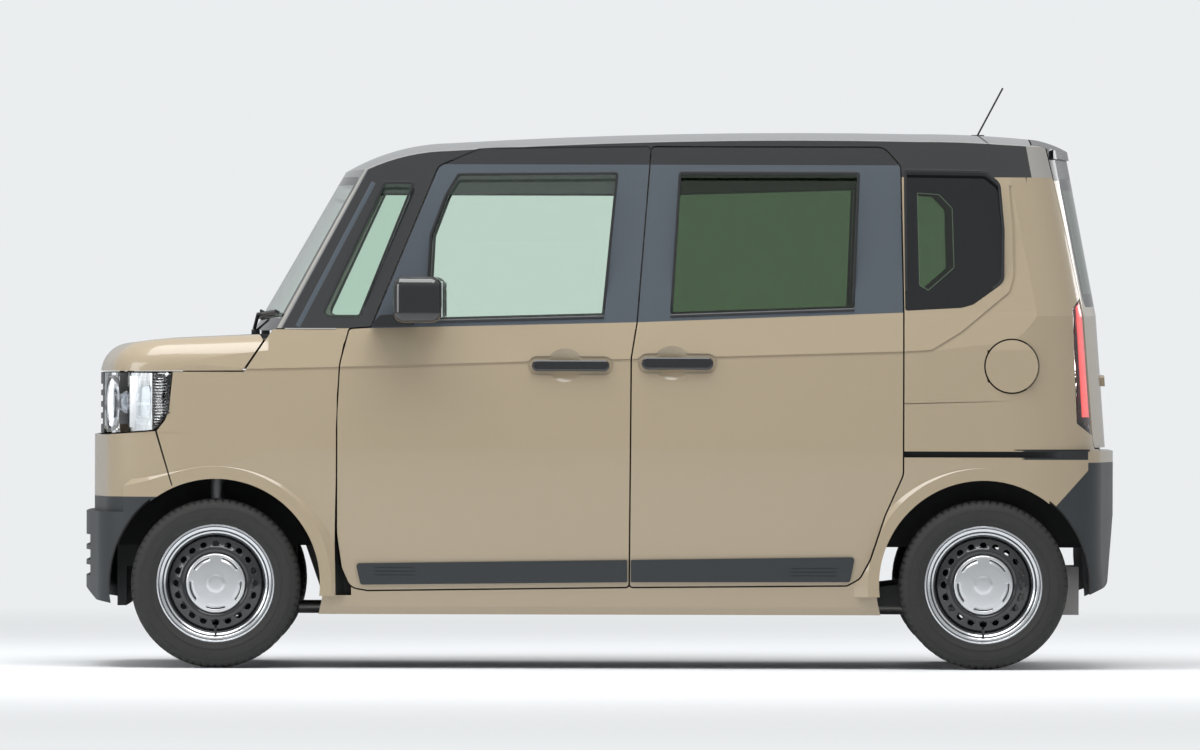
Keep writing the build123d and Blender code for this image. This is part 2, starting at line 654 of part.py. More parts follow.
    # Roof and tail
    roof_end = box(-FAR, ROOF_END_X, -FAR, FAR, 1000, FAR)
    roof = cabin_shell & box(-FAR, FAR, -ROOF_EDGE_Y, ROOF_EDGE_Y, 1560, FAR) & roof_end
    nodes["roof_panel"] = roof - front_slab(SCREEN_OPENING, -FAR, -300)
    screen = cabin - screen_prism(GLASS) - front_slab(SCREEN_BOTTOM, -FAR, 0)
    nodes["windscreen"] = screen & front_slab(shrink_list(SCREEN_OPENING), -FAR, -300)
    tail = cabin_shell & front_slab(TAILGATE_BODY, 1300, FAR)
    tail = tail & box(ROOF_END_X + SHUT_GAP, FAR, -FAR, FAR, 0, FAR)
    window = front_slab(TAILGATE_WINDOW, 1300, FAR)
    bolt_places = (-PLATE_SPACING / 2, PLATE_SPACING / 2)
    bolts = [Location((TAIL - 40, y, PLATE_Z), (0, 90, 0)) * Cylinder(PLATE_BOLT_R, 160) for y in bolt_places]
    recess = front_slab(PLATE_RECESS, 1500, FAR) - tail_volume(PLATE_RECESS_DEPTH)
    grip = (tail_volume(-GRIP_PROUD) - tail_volume(1)) & front_slab(GRIP, 1500, FAR)
    nodes["tailgate"] = tail - window + spoiler() - recess + grip - bolts
    pane = (cabin - tail_volume(GLASS)) & (front_slab(shrink_list(TAILGATE_WINDOW), 1300, FAR))
    nodes["tailgate_glass"] = pane
    lamp_core = tail_volume(TAIL_LAMP_DEPTH) & side_volume(TAIL_LAMP_DEPTH)
    lamp = (left_of(cabin) - lamp_core) & side_slab(TAIL_LAMP, -HALF_WIDTH - 60, -TAIL_LAMP_INNER_Y)
    bar_cut = side_slab(LIGHT_BAR, -HALF_WIDTH - 60, -LIGHT_BAR_INNER_Y)
    bar_cut = bar_cut - (tail_volume(LIGHT_BAR_DEPTH) & side_volume(LIGHT_BAR_DEPTH))
    nodes["tail_lamps"] = twin(lamp - wells - bar_cut)
    rear = cabin_shell & rear_bumper_zone
    striker = box(TAIL - 58, TAIL - 38, -14, 14, REAR_BUMPER_TOP_Z - 4, 724 + SHUT_GAP - SEAL_GAP)
    nodes["rear_bumper"] = (rear - rear_skirt) + striker
    nodes["rear_bumper_skirt"] = cabin_shell & rear_skirt
    return nodes


def headlamp_cuts():
    """Grooves in the left headlamp: ribs behind, two dividing lines, and a ring in front."""
    inner = end_volume(NOSE + LAMP_SET_BACK, LAMP_GROOVE, -1, 0, 1400) & side_volume(LAMP_GROOVE)
    cuts = [
        box(RIB_START_X, RIB_END_X, -FAR, -600, z, z + RIB_PITCH / 2)
        for z in [RIB_LOW_Z + RIB_PITCH * index for index in range(RIB_COUNT)]
    ]
    cuts += [box(x, x + 4, -FAR, -600, LAMP_LOW_Z, LAMP_TOP_Z) for x in (BLOCK_START_X, RIB_START_X - 4)]
    middle = Location((-1600, -RING_Y, RING_Z), (0, 90, 0))
    ring = middle * Cylinder(RING_R, 300) - middle * Cylinder(RING_R - 10, 320)
    return [cut - inner for cut in [*cuts, ring]]


def shrink_list(corners):
    """A symmetrical opening drawn in by the seal gap, for the pane that fills it."""
    middle = sum(corner[1] for corner in corners) / len(corners)
    inner = []
    for y, z, *rest in corners:
        inner.append((y - SEAL_GAP if y > 0 else y + SEAL_GAP,
                      z - SEAL_GAP if z > middle else z + SEAL_GAP, *rest))
    return inner


def spoiler():
    """Lip at the head of the tailgate, which carries on the roof."""
    lip = box(1490, FAR, -552, 552, 1600, FAR) & tail_volume(-SPOILER_PROUD) & roof_cut(SPOILER_WALL)
    return lip - roof_cut(0)


SPOILER_PROUD = 7
SPOILER_WALL = 26
SCREEN_OPENING = [(-647, 1108), (-578, 1614, 40), (578, 1614, 40), (647, 1108)]
SCREEN_BOTTOM = [(-900, 0), (-900, 1100), (900, 1100), (900, 0)]
TAILGATE_BODY = [(-592 + SHUT_GAP, 724 + SHUT_GAP, 40), (-600 + SHUT_GAP, 1162), (-562 + SHUT_GAP, 1640),
                 (-548 + SHUT_GAP, 1830), (548 - SHUT_GAP, 1830), (562 - SHUT_GAP, 1640),
                 (600 - SHUT_GAP, 1162),
                 (592 - SHUT_GAP, 724 + SHUT_GAP, 40)]


def make_door(outline, window):
    """Left door: a skin out to the shut line, a thick core set in from it, a sash round the glass."""
    span = (-HALF_WIDTH - 60, -300)
    whole = left_of(side_volume(0)) & side_cut(outline, *span)
    skin = whole - side_volume(SKIN)
    core = (whole - side_volume(DOOR_DEPTH, SASH_DEPTH)) & side_cut(outline, *span, -DOOR_FLANGE)
    arches = wheel_well(AXLE_FRONT, 0) + wheel_well(AXLE_REAR, 0)
    return (skin + core) - side_cut(window, *span) - arches


def make_pane(window):
    band = left_of(side_volume(GLASS_SET_IN)) - side_volume(GLASS_SET_IN + GLASS)
    return band & side_cut(window, -HALF_WIDTH - 60, -300, -SEAL_GAP)


def handle(x_low, x_high, z_low, z_high):
    """Bar handle with rounded ends on two feet, over its bowl in the door skin."""
    face = HALF_WIDTH + HANDLE_PROUD
    end = (z_high - z_low) / 2 - 1
    bar = side_slab([(x_low, z_low, end), (x_high, z_low, end), (x_high, z_high, end), (x_low, z_high, end)],
                    -face, -(face - HANDLE_WALL))
    bar = fillet(bar.edges().filter_by(lambda edge: abs(edge.center().Y + face) < 0.5), HANDLE_WALL / 2)
    feet = [
        box(x, x + 34, -(face - HANDLE_WALL), -(HALF_WIDTH - HANDLE_RECESS - 3), z_low + 8, z_high - 8)
        for x in (x_low + 10, x_high - 44)
    ]
    return bar + feet


def handle_bowl(x_low, x_high, z_low, z_high):
    """Shallow recess under a handle, and the round bowl for the fingers in its middle."""
    x, z = (x_low + x_high) / 2 + BOWL_SHIFT, (z_low + z_high) / 2 + 10
    radius = (BOWL_R ** 2 + BOWL_DEPTH ** 2) / (2 * BOWL_DEPTH)
    bowl = Location((x, -(HALF_WIDTH + radius - BOWL_DEPTH), z)) * Sphere(radius)
    rim = 12
    corner = (z_high - z_low) / 2 + rim - 1
    recess = side_slab([(x_low - rim, z_low - rim, corner), (x_high + rim, z_low - rim, corner),
                        (x_high + rim, z_high + rim, corner), (x_low - rim, z_high + rim, corner)],
                       -HALF_WIDTH - 60, -600)
    return [bowl, recess - side_volume(HANDLE_RECESS)]


# Handles: (x low, x high, z low, z high)
FRONT_HANDLE = (-224, 31, 977, 1014)
SLIDING_HANDLE = (136, 372, 983, 1024)
HANDLE_PROUD = 20
HANDLE_WALL = 14
HANDLE_RECESS = 5
BOWL_R = 64
BOWL_DEPTH = 17
BOWL_SHIFT = -18
KEY_X = -50
KEY_R = 8

# Underneath and inside

RAIL_LOW_Z = 330
FLOOR_Z = 215
FLOOR_WALL = 26
REAR_FLOOR_Z = 430
DASH_X = -1010


def make_floor():
    """Floor pressing with its toe board, dash panel and raised rear floor."""
    t = FLOOR_WALL
    plate = side_slab([
        (DASH_X, 1085), (DASH_X, 520), (-905, FLOOR_Z, 60), (800, FLOOR_Z, 60), (930, REAR_FLOOR_Z, 60),
        (1600, REAR_FLOOR_Z), (1600, REAR_FLOOR_Z + t), (930 - t * 0.6, REAR_FLOOR_Z + t, 60),
        (800 - t * 0.6, FLOOR_Z + t, 60), (-905 + t * 0.6, FLOOR_Z + t, 60), (DASH_X + t, 524),
        (DASH_X + t, 1085),
    ], -(HALF_WIDTH - SIDE_DEPTH - 1), HALF_WIDTH - SIDE_DEPTH - 1)
    left = tube_y(AXLE_FRONT, TYRE_R, HOUSING_R + 6, -900, -HOUSING_DEPTH_FRONT + 6)
    rear = tube_y(AXLE_REAR, TYRE_R, HOUSING_R + 6, -900, -HOUSING_DEPTH_REAR + 6)
    plate = plate & side_volume(SIDE_DEPTH + SEAL_GAP)
    plate = plate & end_volume(TAIL, TAILGATE_DEPTH + SEAL_GAP, 1, 0, ROOF_Z)
    return plate - twin(left + rear)


def make_liner(x, depth, outer_y, low_z):
    """Shell round the top of one left wheel, open below."""
    hollow = tube_y(x, TYRE_R, HOUSING_R - LINER_WALL, -outer_y - 1, -depth - LINER_WALL)
    ring = tube_y(x, TYRE_R, HOUSING_R - SEAL_GAP, -outer_y, -depth) - hollow
    open_below = box(-FAR, FAR, -570, 0, 0, 400)
    strut_hole = rod((AXLE_FRONT, -kingpin_y(560), 560), (AXLE_FRONT, -kingpin_y(680), 680), STRUT_R + 14)
    return (ring & box(-FAR, FAR, -FAR, FAR, low_z, FAR)) - open_below - strut_hole


def kingpin_y(z):
    """Distance of the steering axis from the middle of the car at a height."""
    lean = (BALL_JOINT_Y - STRUT_TOP_Y) / (STRUT_TOP_Z - BALL_JOINT_Z)
    return BALL_JOINT_Y - lean * (z - BALL_JOINT_Z)


def make_knuckle():
    """Left knuckle: hub, upright, ball joint and the strut's tube on the steering axis."""
    y = -TRACK / 2
    hub = tube_y(AXLE_FRONT, TYRE_R, HUB_R, -(TRACK / 2 + HUB_FACE - SEAL_GAP), -572)
    upright = side_slab([(AXLE_FRONT - 30, BALL_JOINT_Z + 19, 8), (AXLE_FRONT + 30, BALL_JOINT_Z + 19, 8),
                         (AXLE_FRONT + 44, TYRE_R, 20), (AXLE_FRONT + 26, 520, 10),
                         (AXLE_FRONT - 26, 520, 10),
                         (AXLE_FRONT - 44, TYRE_R, 20)], -570, -536)
    foot = box(AXLE_FRONT - 24, AXLE_FRONT + 24, -BALL_JOINT_Y - 12, -540, BALL_JOINT_Z + 19,
               BALL_JOINT_Z + 42)
    ball_z = BALL_JOINT_Z - 1 + SEAL_GAP + BALL_R
    ball = Location((AXLE_FRONT, -kingpin_y(ball_z), ball_z)) * Sphere(BALL_R)
    neck = tube_y(AXLE_FRONT, TYRE_R, 40, -575, -560)
    tube = rod((AXLE_FRONT, -kingpin_y(505), 505), (AXLE_FRONT, -kingpin_y(860), 860), STRUT_R)
    return hub + upright + foot + ball + neck + tube


def make_front_struts():
    """Left spring and its top mount, round the knuckle's tube."""
    low, high = 640, 900
    outer = rod((AXLE_FRONT, -kingpin_y(low), low), (AXLE_FRONT, -kingpin_y(high), high), SPRING_R)
    bore = rod((AXLE_FRONT, -kingpin_y(low - 10), low - 10),
               (AXLE_FRONT, -kingpin_y(high - 20), high - 20), STRUT_R + SEAL_GAP)
    return outer - bore


def make_front_frame():
    """Side rails, strut towers, radiator support and bumper beam, as one welded structure."""
    rail = box(-1590, DASH_X, -400, -345, RAIL_LOW_Z, 430)
    tower = Location((AXLE_FRONT, -kingpin_y(880), 880)) * Cylinder(95, 60)
    tower = tower - make_front_struts()
    tower = tower - rod((AXLE_FRONT, -kingpin_y(600), 600), (AXLE_FRONT, -kingpin_y(905), 905), SPRING_R + 1)
    leg = box(AXLE_FRONT - 60, AXLE_FRONT + 60, -402, -372, 430, 900)
    apron = box(AXLE_FRONT - 60, AXLE_FRONT + 60, -430, -372, 880, 900)
    bearer = box(-1590, -1560, -400, -345, 200, 760)
    shelf = box(-1590, -1560, -590, -345, 742, LAMP_LOW_Z + 20)
    left = rail + bearer + shelf + leg + tower + apron
    across = box(-1590, -1560, -345, 345, 720, 760) + box(-1590, -1560, -345, 345, 200, 240)
    radiator = box(-1585, -1563, -345, 345, 240, 720)
    beam = box(-1692, -1590, -470, 470, 400, 500) & end_volume(NOSE, SKIN, -1, 0, ROOF_Z)
    return left + mirror(left, about=Plane.XZ) + across + radiator + beam


def make_subframe():
    """Front cross-member with its lower arms and steering rack."""
    cradle = box(-1440, -1040, -330, 330, 185, 245)
    arm = side_slab([(AXLE_FRONT - 22, 168, 8), (AXLE_FRONT + 22, 168, 8), (AXLE_FRONT + 22, 184, 4),
                     (AXLE_FRONT - 22, 184, 4)],
                    -BALL_JOINT_Y - 14, -325)
    rear_leg = plan_slab([(AXLE_FRONT + 10, -560, 6), (-1060, -300), (-1100, -300),
                          (AXLE_FRONT + 10, -500, 6)], 170, 184)
    lugs = box(-1290, -1060, -335, -290, 170, 190)
    posts = [box(x, x + 40, -385, -325, 235, RAIL_LOW_Z) for x in (-1420, -1090)]
    left = arm + rear_leg + lugs + posts
    return cradle + left + mirror(left, about=Plane.XZ)


def make_rear_axle():
    """Torsion beam: cross beam, two trailing arms and the hub stubs."""
    beam = tube_y(1085, 256, 38, -560, 560)
    arm = side_slab([(860, 262, 18), (880, 205, 18), (1270, 215, 20), (1300, TYRE_R, 20), (1270, 330, 20),
                     (1180, 300, 30)],
                    -562, -512)
    hub = tube_y(AXLE_REAR, TYRE_R, HUB_R, -(TRACK / 2 + HUB_FACE - SEAL_GAP), -561)
    seat = Location((1150, -470, 262)) * Cylinder(58, 14)
    bridge = box(1100, 1200, -520, -420, 240, 262)
    left = arm + hub + seat + bridge
    return beam + left + mirror(left, about=Plane.XZ)


def make_rear_springs():
    spring = Location((1150, -470, 0)) * Cylinder(50, REAR_FLOOR_Z - SEAL_GAP - 269.5,
                                                  align=(Align.CENTER, Align.CENTER, Align.MIN))
    spring = Location((0, 0, 269.5)) * spring
    damper = rod((1290, -478, 250), (1250, -478, REAR_FLOOR_Z - 2), 22)
    return spring + [damper]


def make_wheels():
    """Tyre and rim of each corner, by node name."""
    nodes = {}
    for end, x in (("front", AXLE_FRONT), ("rear", AXLE_REAR)):
        for side, sign in (("left", -1), ("right", 1)):
            y = sign * TRACK / 2
            nodes[f"tyre_{end}_{side}"] = make_tyre(x, y)
            nodes[f"rim_{end}_{side}"] = make_rim(x, y, sign)
    return nodes


def make_seat(x, y, width, cushion_z):
    """Cushion, back and headrest of one seat on its plinth, facing forward."""
    half = width / 2
    side = side_slab([(x - 250, cushion_z - 90, 30), (x + 230, cushion_z - 110, 20),
                      (x + 330, cushion_z + 560, 40),
                      (x + 235, cushion_z + 590, 40), (x + 130, cushion_z + 40, 30),
                      (x - 240, cushion_z + 30, 45)],
                     y - half, y + half)
    head = side_slab([(x + 250, cushion_z + 600, 30), (x + 345, cushion_z + 590, 30),
                      (x + 365, cushion_z + 770, 30),
                      (x + 290, cushion_z + 785, 30)], y - 120, y + 120)
    posts = [box(x + 285, x + 297, y + offset_y - 6, y + offset_y + 6, cushion_z + 560,
                 cushion_z + 610) for offset_y in (-60, 60)]
    base = box(x - 190, x + 60, y - half + 40, y + half - 40, FLOOR_Z + FLOOR_WALL + SEAL_GAP, cushion_z - 95)
    return side + head + posts + base


def make_dashboard():
    face = side_slab([(DASH_X + FLOOR_WALL + SEAL_GAP, 1098), (-700, 1090, 40), (-640, 1040, 40),
                      (-650, 880, 60), (-700, 700, 60), (-820, 640, 40),
                      (DASH_X + FLOOR_WALL + SEAL_GAP, 640)], -600, 600)
    hood = side_slab([(-760, 1085), (-640, 1085, 20), (-620, 1130, 20), (-700, 1140, 20)], 190, 470)
    return face + hood


STEERING_HUB = (-500, 330, 1040)


def make_steering_wheel():
    hub = Vector(*STEERING_HUB)
    plane = Plane(origin=hub, z_dir=(0.88, 0, 0.47))
    rim = plane * Torus(180, 15)
    boss = plane * Cylinder(62, 40)
    spoke = Location((105, 0, 0)) * Box(150, 34, 16)
    spokes = [plane * Location((0, 0, 0), (0, 0, turn)) * spoke for turn in (0, 180, 270)]
    column = rod(hub, hub - Vector(0.88, 0, 0.47) * 284, 28)
    return rim + boss + spokes + column


def make_mirror():
    """Left door mirror: rounded housing on a foot at the door's front corner."""
    y = -(HALF_WIDTH + 105)
    shell = box(-678, -518, y - 92, y + 92, 1135, 1287)
    shell = fillet(shell.edges(), 34)
    foot = side_slab([(-757, 1108 + 14, 6), (-600, 1126, 6), (-640, 1162, 14), (-720, 1160, 14)],
                     y + 20, -(HALF_WIDTH - BELT_IN - 14))
    return shell + foot


def make_garnish(points):
    """Protective strip along a door's foot, with three short grooves near its free end."""
    outline = side_cut(points, -HALF_WIDTH - 60, -300)
    strip = left_of(side_volume(-GARNISH_PROUD) - side_volume(SEAL_GAP)) & outline
    lines = [
        box(*span, -FAR, 0, z, z + 4) - side_volume(2 - GARNISH_PROUD)
        for span in ((-738, -604), (627, 777)) for z in (306, 318, 330)
    ]
    return strip - lines


GARNISH_PROUD = 9
FRONT_GARNISH = [(-800, 345, 10), (-784, 275, 8), (91, 285, 4), (91, 358, 4)]
SLIDING_GARNISH = [(103, 358, 4), (103, 285, 4), (822, 287, 8), (838, 369, 10)]


LID_X = 1351
LID_Z = 997
LID_R = 86
LID_WALL = 6
LID_PIN_X = 1279
LID_PIN_IN = 8.5
LID_PIN_R = 3.2
LID_SWEEP_R = 9.6


def make_fuel_lid():
    """Round lid with the middle knuckle of its hinge."""
    disc = (left_of(side_volume(0)) - side_volume(LID_WALL)) & tube_y(LID_X, LID_Z, LID_R,
                                                                      -HALF_WIDTH - 60, -300)
    pin_y = -(HALF_WIDTH - LID_PIN_IN)
    knuckle = Location((LID_PIN_X, pin_y, LID_Z)) * Cylinder(LID_PIN_R, 22)
    slots = [Location((LID_PIN_X, pin_y, LID_Z + z)) * Cylinder(LID_PIN_R + 0.7, 11.2) for z in (-16.6, 16.6)]
    disc = disc - slots
    web = box(LID_PIN_X - 3, LID_PIN_X + LID_PIN_R, -(HALF_WIDTH - LID_WALL + 1), pin_y, LID_Z - 11,
              LID_Z + 11)
    return disc + knuckle + web


def make_lid_hinge():
    """The two outer knuckles of the lid's hinge, on stems from the floor of its pocket."""
    pin_y = -(HALF_WIDTH - LID_PIN_IN)
    knuckles = []
    for z in (LID_Z - 16.5, LID_Z + 16.5):
        knuckles.append(Location((LID_PIN_X, pin_y, z)) * Cylinder(LID_PIN_R, 10.4))
        knuckles.append(box(LID_PIN_X - 2.4, LID_PIN_X + LID_PIN_R, pin_y, -(HALF_WIDTH - 42), z - 5.2,
                            z + 5.2))
    return knuckles


HINGE_X = -815
HINGE_IN = 25.5
HINGE_R = 7
HINGE_HEIGHTS = (660, 900)
KNUCKLE = 20
LEAF_WALL = 15


def make_hinge_leaves():
    """Fixed halves of the left front door's two hinges, reaching out from the pillar."""
    y = -(HALF_WIDTH - HINGE_IN)
    inner_y = -(HALF_WIDTH - SIDE_DEPTH)
    leaves = []
    for z in HINGE_HEIGHTS:
        low, high = z - KNUCKLE - SEAL_GAP / 2, z - SEAL_GAP / 2
        leaves.append(Location((HINGE_X, y, (low + high) / 2)) * Cylinder(HINGE_R, KNUCKLE))
        leaves.append(box(HINGE_X - HINGE_R, HINGE_X + HINGE_R, y, inner_y, low, high))
        leaves.append(box(HINGE_X - 40, HINGE_X + HINGE_R, inner_y - LEAF_WALL, inner_y, low, high))
    return leaves


def fit_door_hinges(door):
    """Pockets in the door's edge for the fixed halves, and the door's own knuckles."""
    y = -(HALF_WIDTH - HINGE_IN)
    for z in HINGE_HEIGHTS:
        pocket = box(-880, HINGE_X + 16, -HALF_WIDTH, -(HALF_WIDTH - SIDE_DEPTH), z - KNUCKLE - 8,
                     z + KNUCKLE + 8)
        door = door - (pocket & side_volume(SKIN))
        door = door + Location((HINGE_X, y, z + KNUCKLE / 2 + SEAL_GAP / 2)) * Cylinder(HINGE_R, KNUCKLE)
        door = door + box(HINGE_X, HINGE_X + 20, y - HINGE_R, y + HINGE_R, z + SEAL_GAP / 2,
                          z + KNUCKLE + SEAL_GAP / 2)
    return door


# Reach of the left front door's front edge round its hinge, with room to pass: (radius, z)
HINGE_SWEEP = [(0, 240), (54.7, 240), (54.7, 850), (54.3, 900), (46.6, 1000), (40, 1022), (30, 1062),
               (14, 1098),
               (10, 1113), (10, 1116), (0, 1116)]


def hinge_relief():
    """Room in the fender's and the pillar's edges for the left front door's edge as it swings in."""
    sweep_room = revolve(Plane.XZ * rounded(HINGE_SWEEP), Axis.Z)
    sweep_room = Location((HINGE_X, -(HALF_WIDTH - HINGE_IN), 0)) * sweep_room
    return sweep_room & box(-FAR, HINGE_X, -HALF_WIDTH - 1, -(HALF_WIDTH - DOOR_DEPTH), 0, FAR)


BONNET_PIN_X = -1082
BONNET_PIN_Z = 1088
BONNET_PIN_R = 7


def bonnet_lugs():
    """Hinge arm under the bonnet's left rear corner, and the bracket that it turns on."""
    x, z = BONNET_PIN_X, BONNET_PIN_Z
    arm = side_slab([(x - 85, z - 28), (x, z - 7), (x, z + 7), (x - 44, z - 1), (x - 85, z - 6)], -612, -600)
    arm = arm + tube_y(x, z, BONNET_PIN_R, -612, -600)
    bracket = tube_y(x, z, BONNET_PIN_R, -599.7, -584) + box(x - 6, x + 6, -599.7, -584, z - 12, z)
    return arm, bracket


GATE_PIN_X = ROOF_END_X - 6
GATE_PIN_Z = 1742
GATE_PIN_R = 4.5
GATE_HINGE_Y = (110, 130)
GATE_KNUCKLE = 18


def gate_hinges():
    """Tailgate hinges at the roof's edge: knuckles of the roof, knuckles of the tailgate, and the room for these."""
    x, z, r = GATE_PIN_X, GATE_PIN_Z, GATE_PIN_R
    low, high = GATE_HINGE_Y
    moving = tube_y(x, z, r, low, high) + box(x, ROOF_END_X + SHUT_GAP + 4, low, high, z - r, z + r - 1)
    room = box(x - r - 3, FAR, low - SEAL_GAP, high + SEAL_GAP, z - r - 3, FAR)
    fixed = []
    for start in (low - SEAL_GAP - GATE_KNUCKLE, high + SEAL_GAP):
        fixed.append(tube_y(x, z, r, start, start + GATE_KNUCKLE))
    return twin(moving), fixed + [mirror(knuckle, about=Plane.XZ) for knuckle in fixed], twin(room)


def main():
    os.makedirs("parts", exist_ok=True)
    nodes = make_body()
    grooves = side_groove(CREASE_LINE, CREASE_WIDTH, CREASE_DEPTH)
    slot = box(980, SLOT_END_X, -FAR, FAR, SLOT_LOW_Z, SLOT_HIGH_Z) - side_volume(SLOT_DEPTH)
    nodes["side_frames"] = nodes["side_frames"] - grooves - slot - side_groove(QUARTER_LINE, LINE_WIDTH,
                                                                               LINE_DEPTH)
    nodes["front_fenders"] = nodes["front_fenders"] - grooves
    door = fit_door_hinges(make_door(front_door_outline(), FRONT_WINDOW))
    pane = make_pane(FRONT_WINDOW)
    door = door - handle_bowl(*FRONT_HANDLE) - grooves
    key = tube_y(KEY_X, (FRONT_HANDLE[2] + FRONT_HANDLE[3]) / 2, KEY_R, -HALF_WIDTH - 60,
                 -(HALF_WIDTH + HANDLE_PROUD - 2))
    trim = make_garnish(FRONT_GARNISH) + handle(*FRONT_HANDLE) - key - door
    for side, turn in (("left", lambda shape: shape), ("right", lambda shape: mirror(shape, about=Plane.XZ))):
        nodes[f"front_door_{side}"] = turn(door)
        nodes[f"front_door_{side}_glass"] = turn(pane)
        nodes[f"front_door_{side}_trim"] = turn(trim)
        nodes[f"mirror_{side}"] = turn(make_mirror() - door)
        nodes[f"knuckle_{side}"] = turn(make_knuckle())
    slider = make_door(sliding_door_outline(), SLIDING_WINDOW) - handle_bowl(*SLIDING_HANDLE) - grooves
    nodes["sliding_doors"] = twin(slider)
    nodes["sliding_door_trims"] = twin(make_garnish(SLIDING_GARNISH) + handle(*SLIDING_HANDLE) - slider)
    nodes["rear_side_glasses"] += twin(make_pane(SLIDING_WINDOW))
    nodes["fuel_lid"] = make_fuel_lid()
    pocket = tube_y(LID_X, LID_Z, LID_R + SHUT_GAP, -HALF_WIDTH - 60, -(HALF_WIDTH - 40))
    pocket = pocket + Location((LID_PIN_X, -(HALF_WIDTH - LID_PIN_IN), LID_Z)) * Cylinder(LID_SWEEP_R, 106)
    leaves = make_hinge_leaves()
    relief = hinge_relief()
    relief = relief + mirror(relief, about=Plane.XZ)
    nodes["front_fenders"] = nodes["front_fenders"] - relief
    nodes["side_frames"] = (nodes["side_frames"] - pocket - relief) + make_lid_hinge() + leaves
    nodes["side_frames"] += [mirror(leaf, about=Plane.XZ) for leaf in leaves]
    arm, bracket = bonnet_lugs()
    nodes["bonnet"] = nodes["bonnet"] + twin(arm)
    nodes["cowl"] += box(-1130, DASH_X - SEAL_GAP, -560, 560, 1070, 1083)
    nodes["cowl"] = (nodes["cowl"] - twin(box(-1142, -1066, -620, -594, 1050, 1200))) + twin(bracket)
    moving, fixed, hinge_room = gate_hinges()
    nodes["tailgate"] = nodes["tailgate"] + moving
    nodes["roof_panel"] = (nodes["roof_panel"] - hinge_room) + fixed
    nodes["floor_pan"] = make_floor()
    nodes["arch_liners"] = twin(
        make_liner(AXLE_FRONT, HOUSING_DEPTH_FRONT, 700, 250)
        + make_liner(AXLE_REAR, HOUSING_DEPTH_REAR, 700, 250)
    )
    nodes["front_frame"] = make_front_frame() - nodes["headlamps"] - nodes["arch_liners"]
    nodes["front_subframe"] = make_subframe()
    axle = make_rear_axle()
    nodes["rear_axle"] = axle
    nodes["suspension_springs"] = twin(make_front_struts() + make_rear_springs()) - axle - nodes["floor_pan"]
    nodes["engine"] = box(-1520, -1060, -300, 320, 245 + SEAL_GAP, 840)
    nodes["fuel_tank"] = box(-470, 400, -430, 50, 182, FLOOR_Z - SEAL_GAP)
    nodes["exhaust"] = rod((-1000, 120, 189), (1380, 120, 189), 22) + box(1380, 1590, -60, 360, 170, 330)
    nodes["exhaust"] += box(1470, 1482, 140, 160, 325, REAR_FLOOR_Z)
    nodes["front_seats"] = twin(make_seat(-205, -330, 520, 590))
    nodes["rear_seats"] = twin(make_seat(688, -268, 500, 600))
    nodes["dashboard"] = make_dashboard()
    nodes["steering_wheel"] = make_steering_wheel() - nodes["dashboard"]
    nodes["antenna"] = rod((1250, 0, 1758), (1335, 0, 1918), 3) + Location((1252, 0, 1758)) * Cylinder(22, 8)
    nodes["antenna"] -= nodes["roof_panel"]
    nodes.update(make_wheels())
    for node, shape in nodes.items():
        save(shape, node)


main()
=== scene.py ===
from math import atan2, cos, exp, hypot, pi, radians, sin, tan, tau

import bmesh
import bpy
from mathutils import Matrix, Vector
from mathutils.bvhtree import BVHTree


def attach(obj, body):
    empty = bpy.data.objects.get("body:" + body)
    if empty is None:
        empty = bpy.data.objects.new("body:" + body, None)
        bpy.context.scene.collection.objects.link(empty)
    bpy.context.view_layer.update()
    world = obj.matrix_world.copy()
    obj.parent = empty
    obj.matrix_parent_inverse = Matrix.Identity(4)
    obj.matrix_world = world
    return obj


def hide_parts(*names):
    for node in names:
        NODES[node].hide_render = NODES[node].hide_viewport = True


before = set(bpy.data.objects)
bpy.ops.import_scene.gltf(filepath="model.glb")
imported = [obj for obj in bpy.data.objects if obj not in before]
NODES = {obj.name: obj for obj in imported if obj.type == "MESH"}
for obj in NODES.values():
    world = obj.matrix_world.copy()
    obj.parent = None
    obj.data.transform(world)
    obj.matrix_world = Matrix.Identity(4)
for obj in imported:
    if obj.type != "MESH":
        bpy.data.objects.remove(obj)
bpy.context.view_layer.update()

# A tall four-door kei wagon in metres: +X to the rear, +Y to the car's right, +Z up.
SIDES = (("left", -1), ("right", 1))

# Sizes shared with the frame
HALF_WIDTH = 0.7375
AXLE_X = 1.26
TRACK_HALF = 0.6525
TYRE_R = 0.2785
BELT_Z = 1.136
RAIL_Z = 1.722
CREASE_Z = 1.010
WAIST_Z = 0.700
SILL_Z = 0.203
BELT_SLOPE = 0.03
BELT_IN = 0.021
GLASS_IN = 0.095
SILL_IN = 0.038

# Where the finishes change
DOOR_HEAD_Z = 1.656
ROOF_EDGE_Z = 1.607
HANDLE_LOW_Z = 0.90
LINING_TOP_Z = 0.98
CABIN_X = (-0.87, 1.40)
RAIL_SLOT_X = (0.975, 1.61)
RAIL_SLOT_Z = (0.690, 0.724)
QUARTER_GLASS_X = 0.93
SOFT_TURN = 0.1

# Finishes
PAINT_ROUGH = 0.36
PAINT_COAT = 0.9
SASH_ROUGH = 0.44
SASH_COAT = 0.12
LINING_ROUGH = 0.75

# Colours, linear
BEIGE = (0.335, 0.270, 0.180, 1)
ROOF_BLACK = (0.014, 0.015, 0.016, 1)
SASH_GREY = (0.058, 0.072, 0.088, 1)
CLADDING = (0.020, 0.024, 0.027, 1)
# Dark trim colour, also used as painted shade inside the sliding door's rail slot
DARK_TRIM_AND_SLOT_SHADE = (0.016, 0.017, 0.018, 1)
DEEP_BLACK = (0.008, 0.009, 0.010, 1)
LINING = (0.30, 0.29, 0.27, 1)
STUDIO = (0.80, 0.82, 0.84, 1)


# Materials


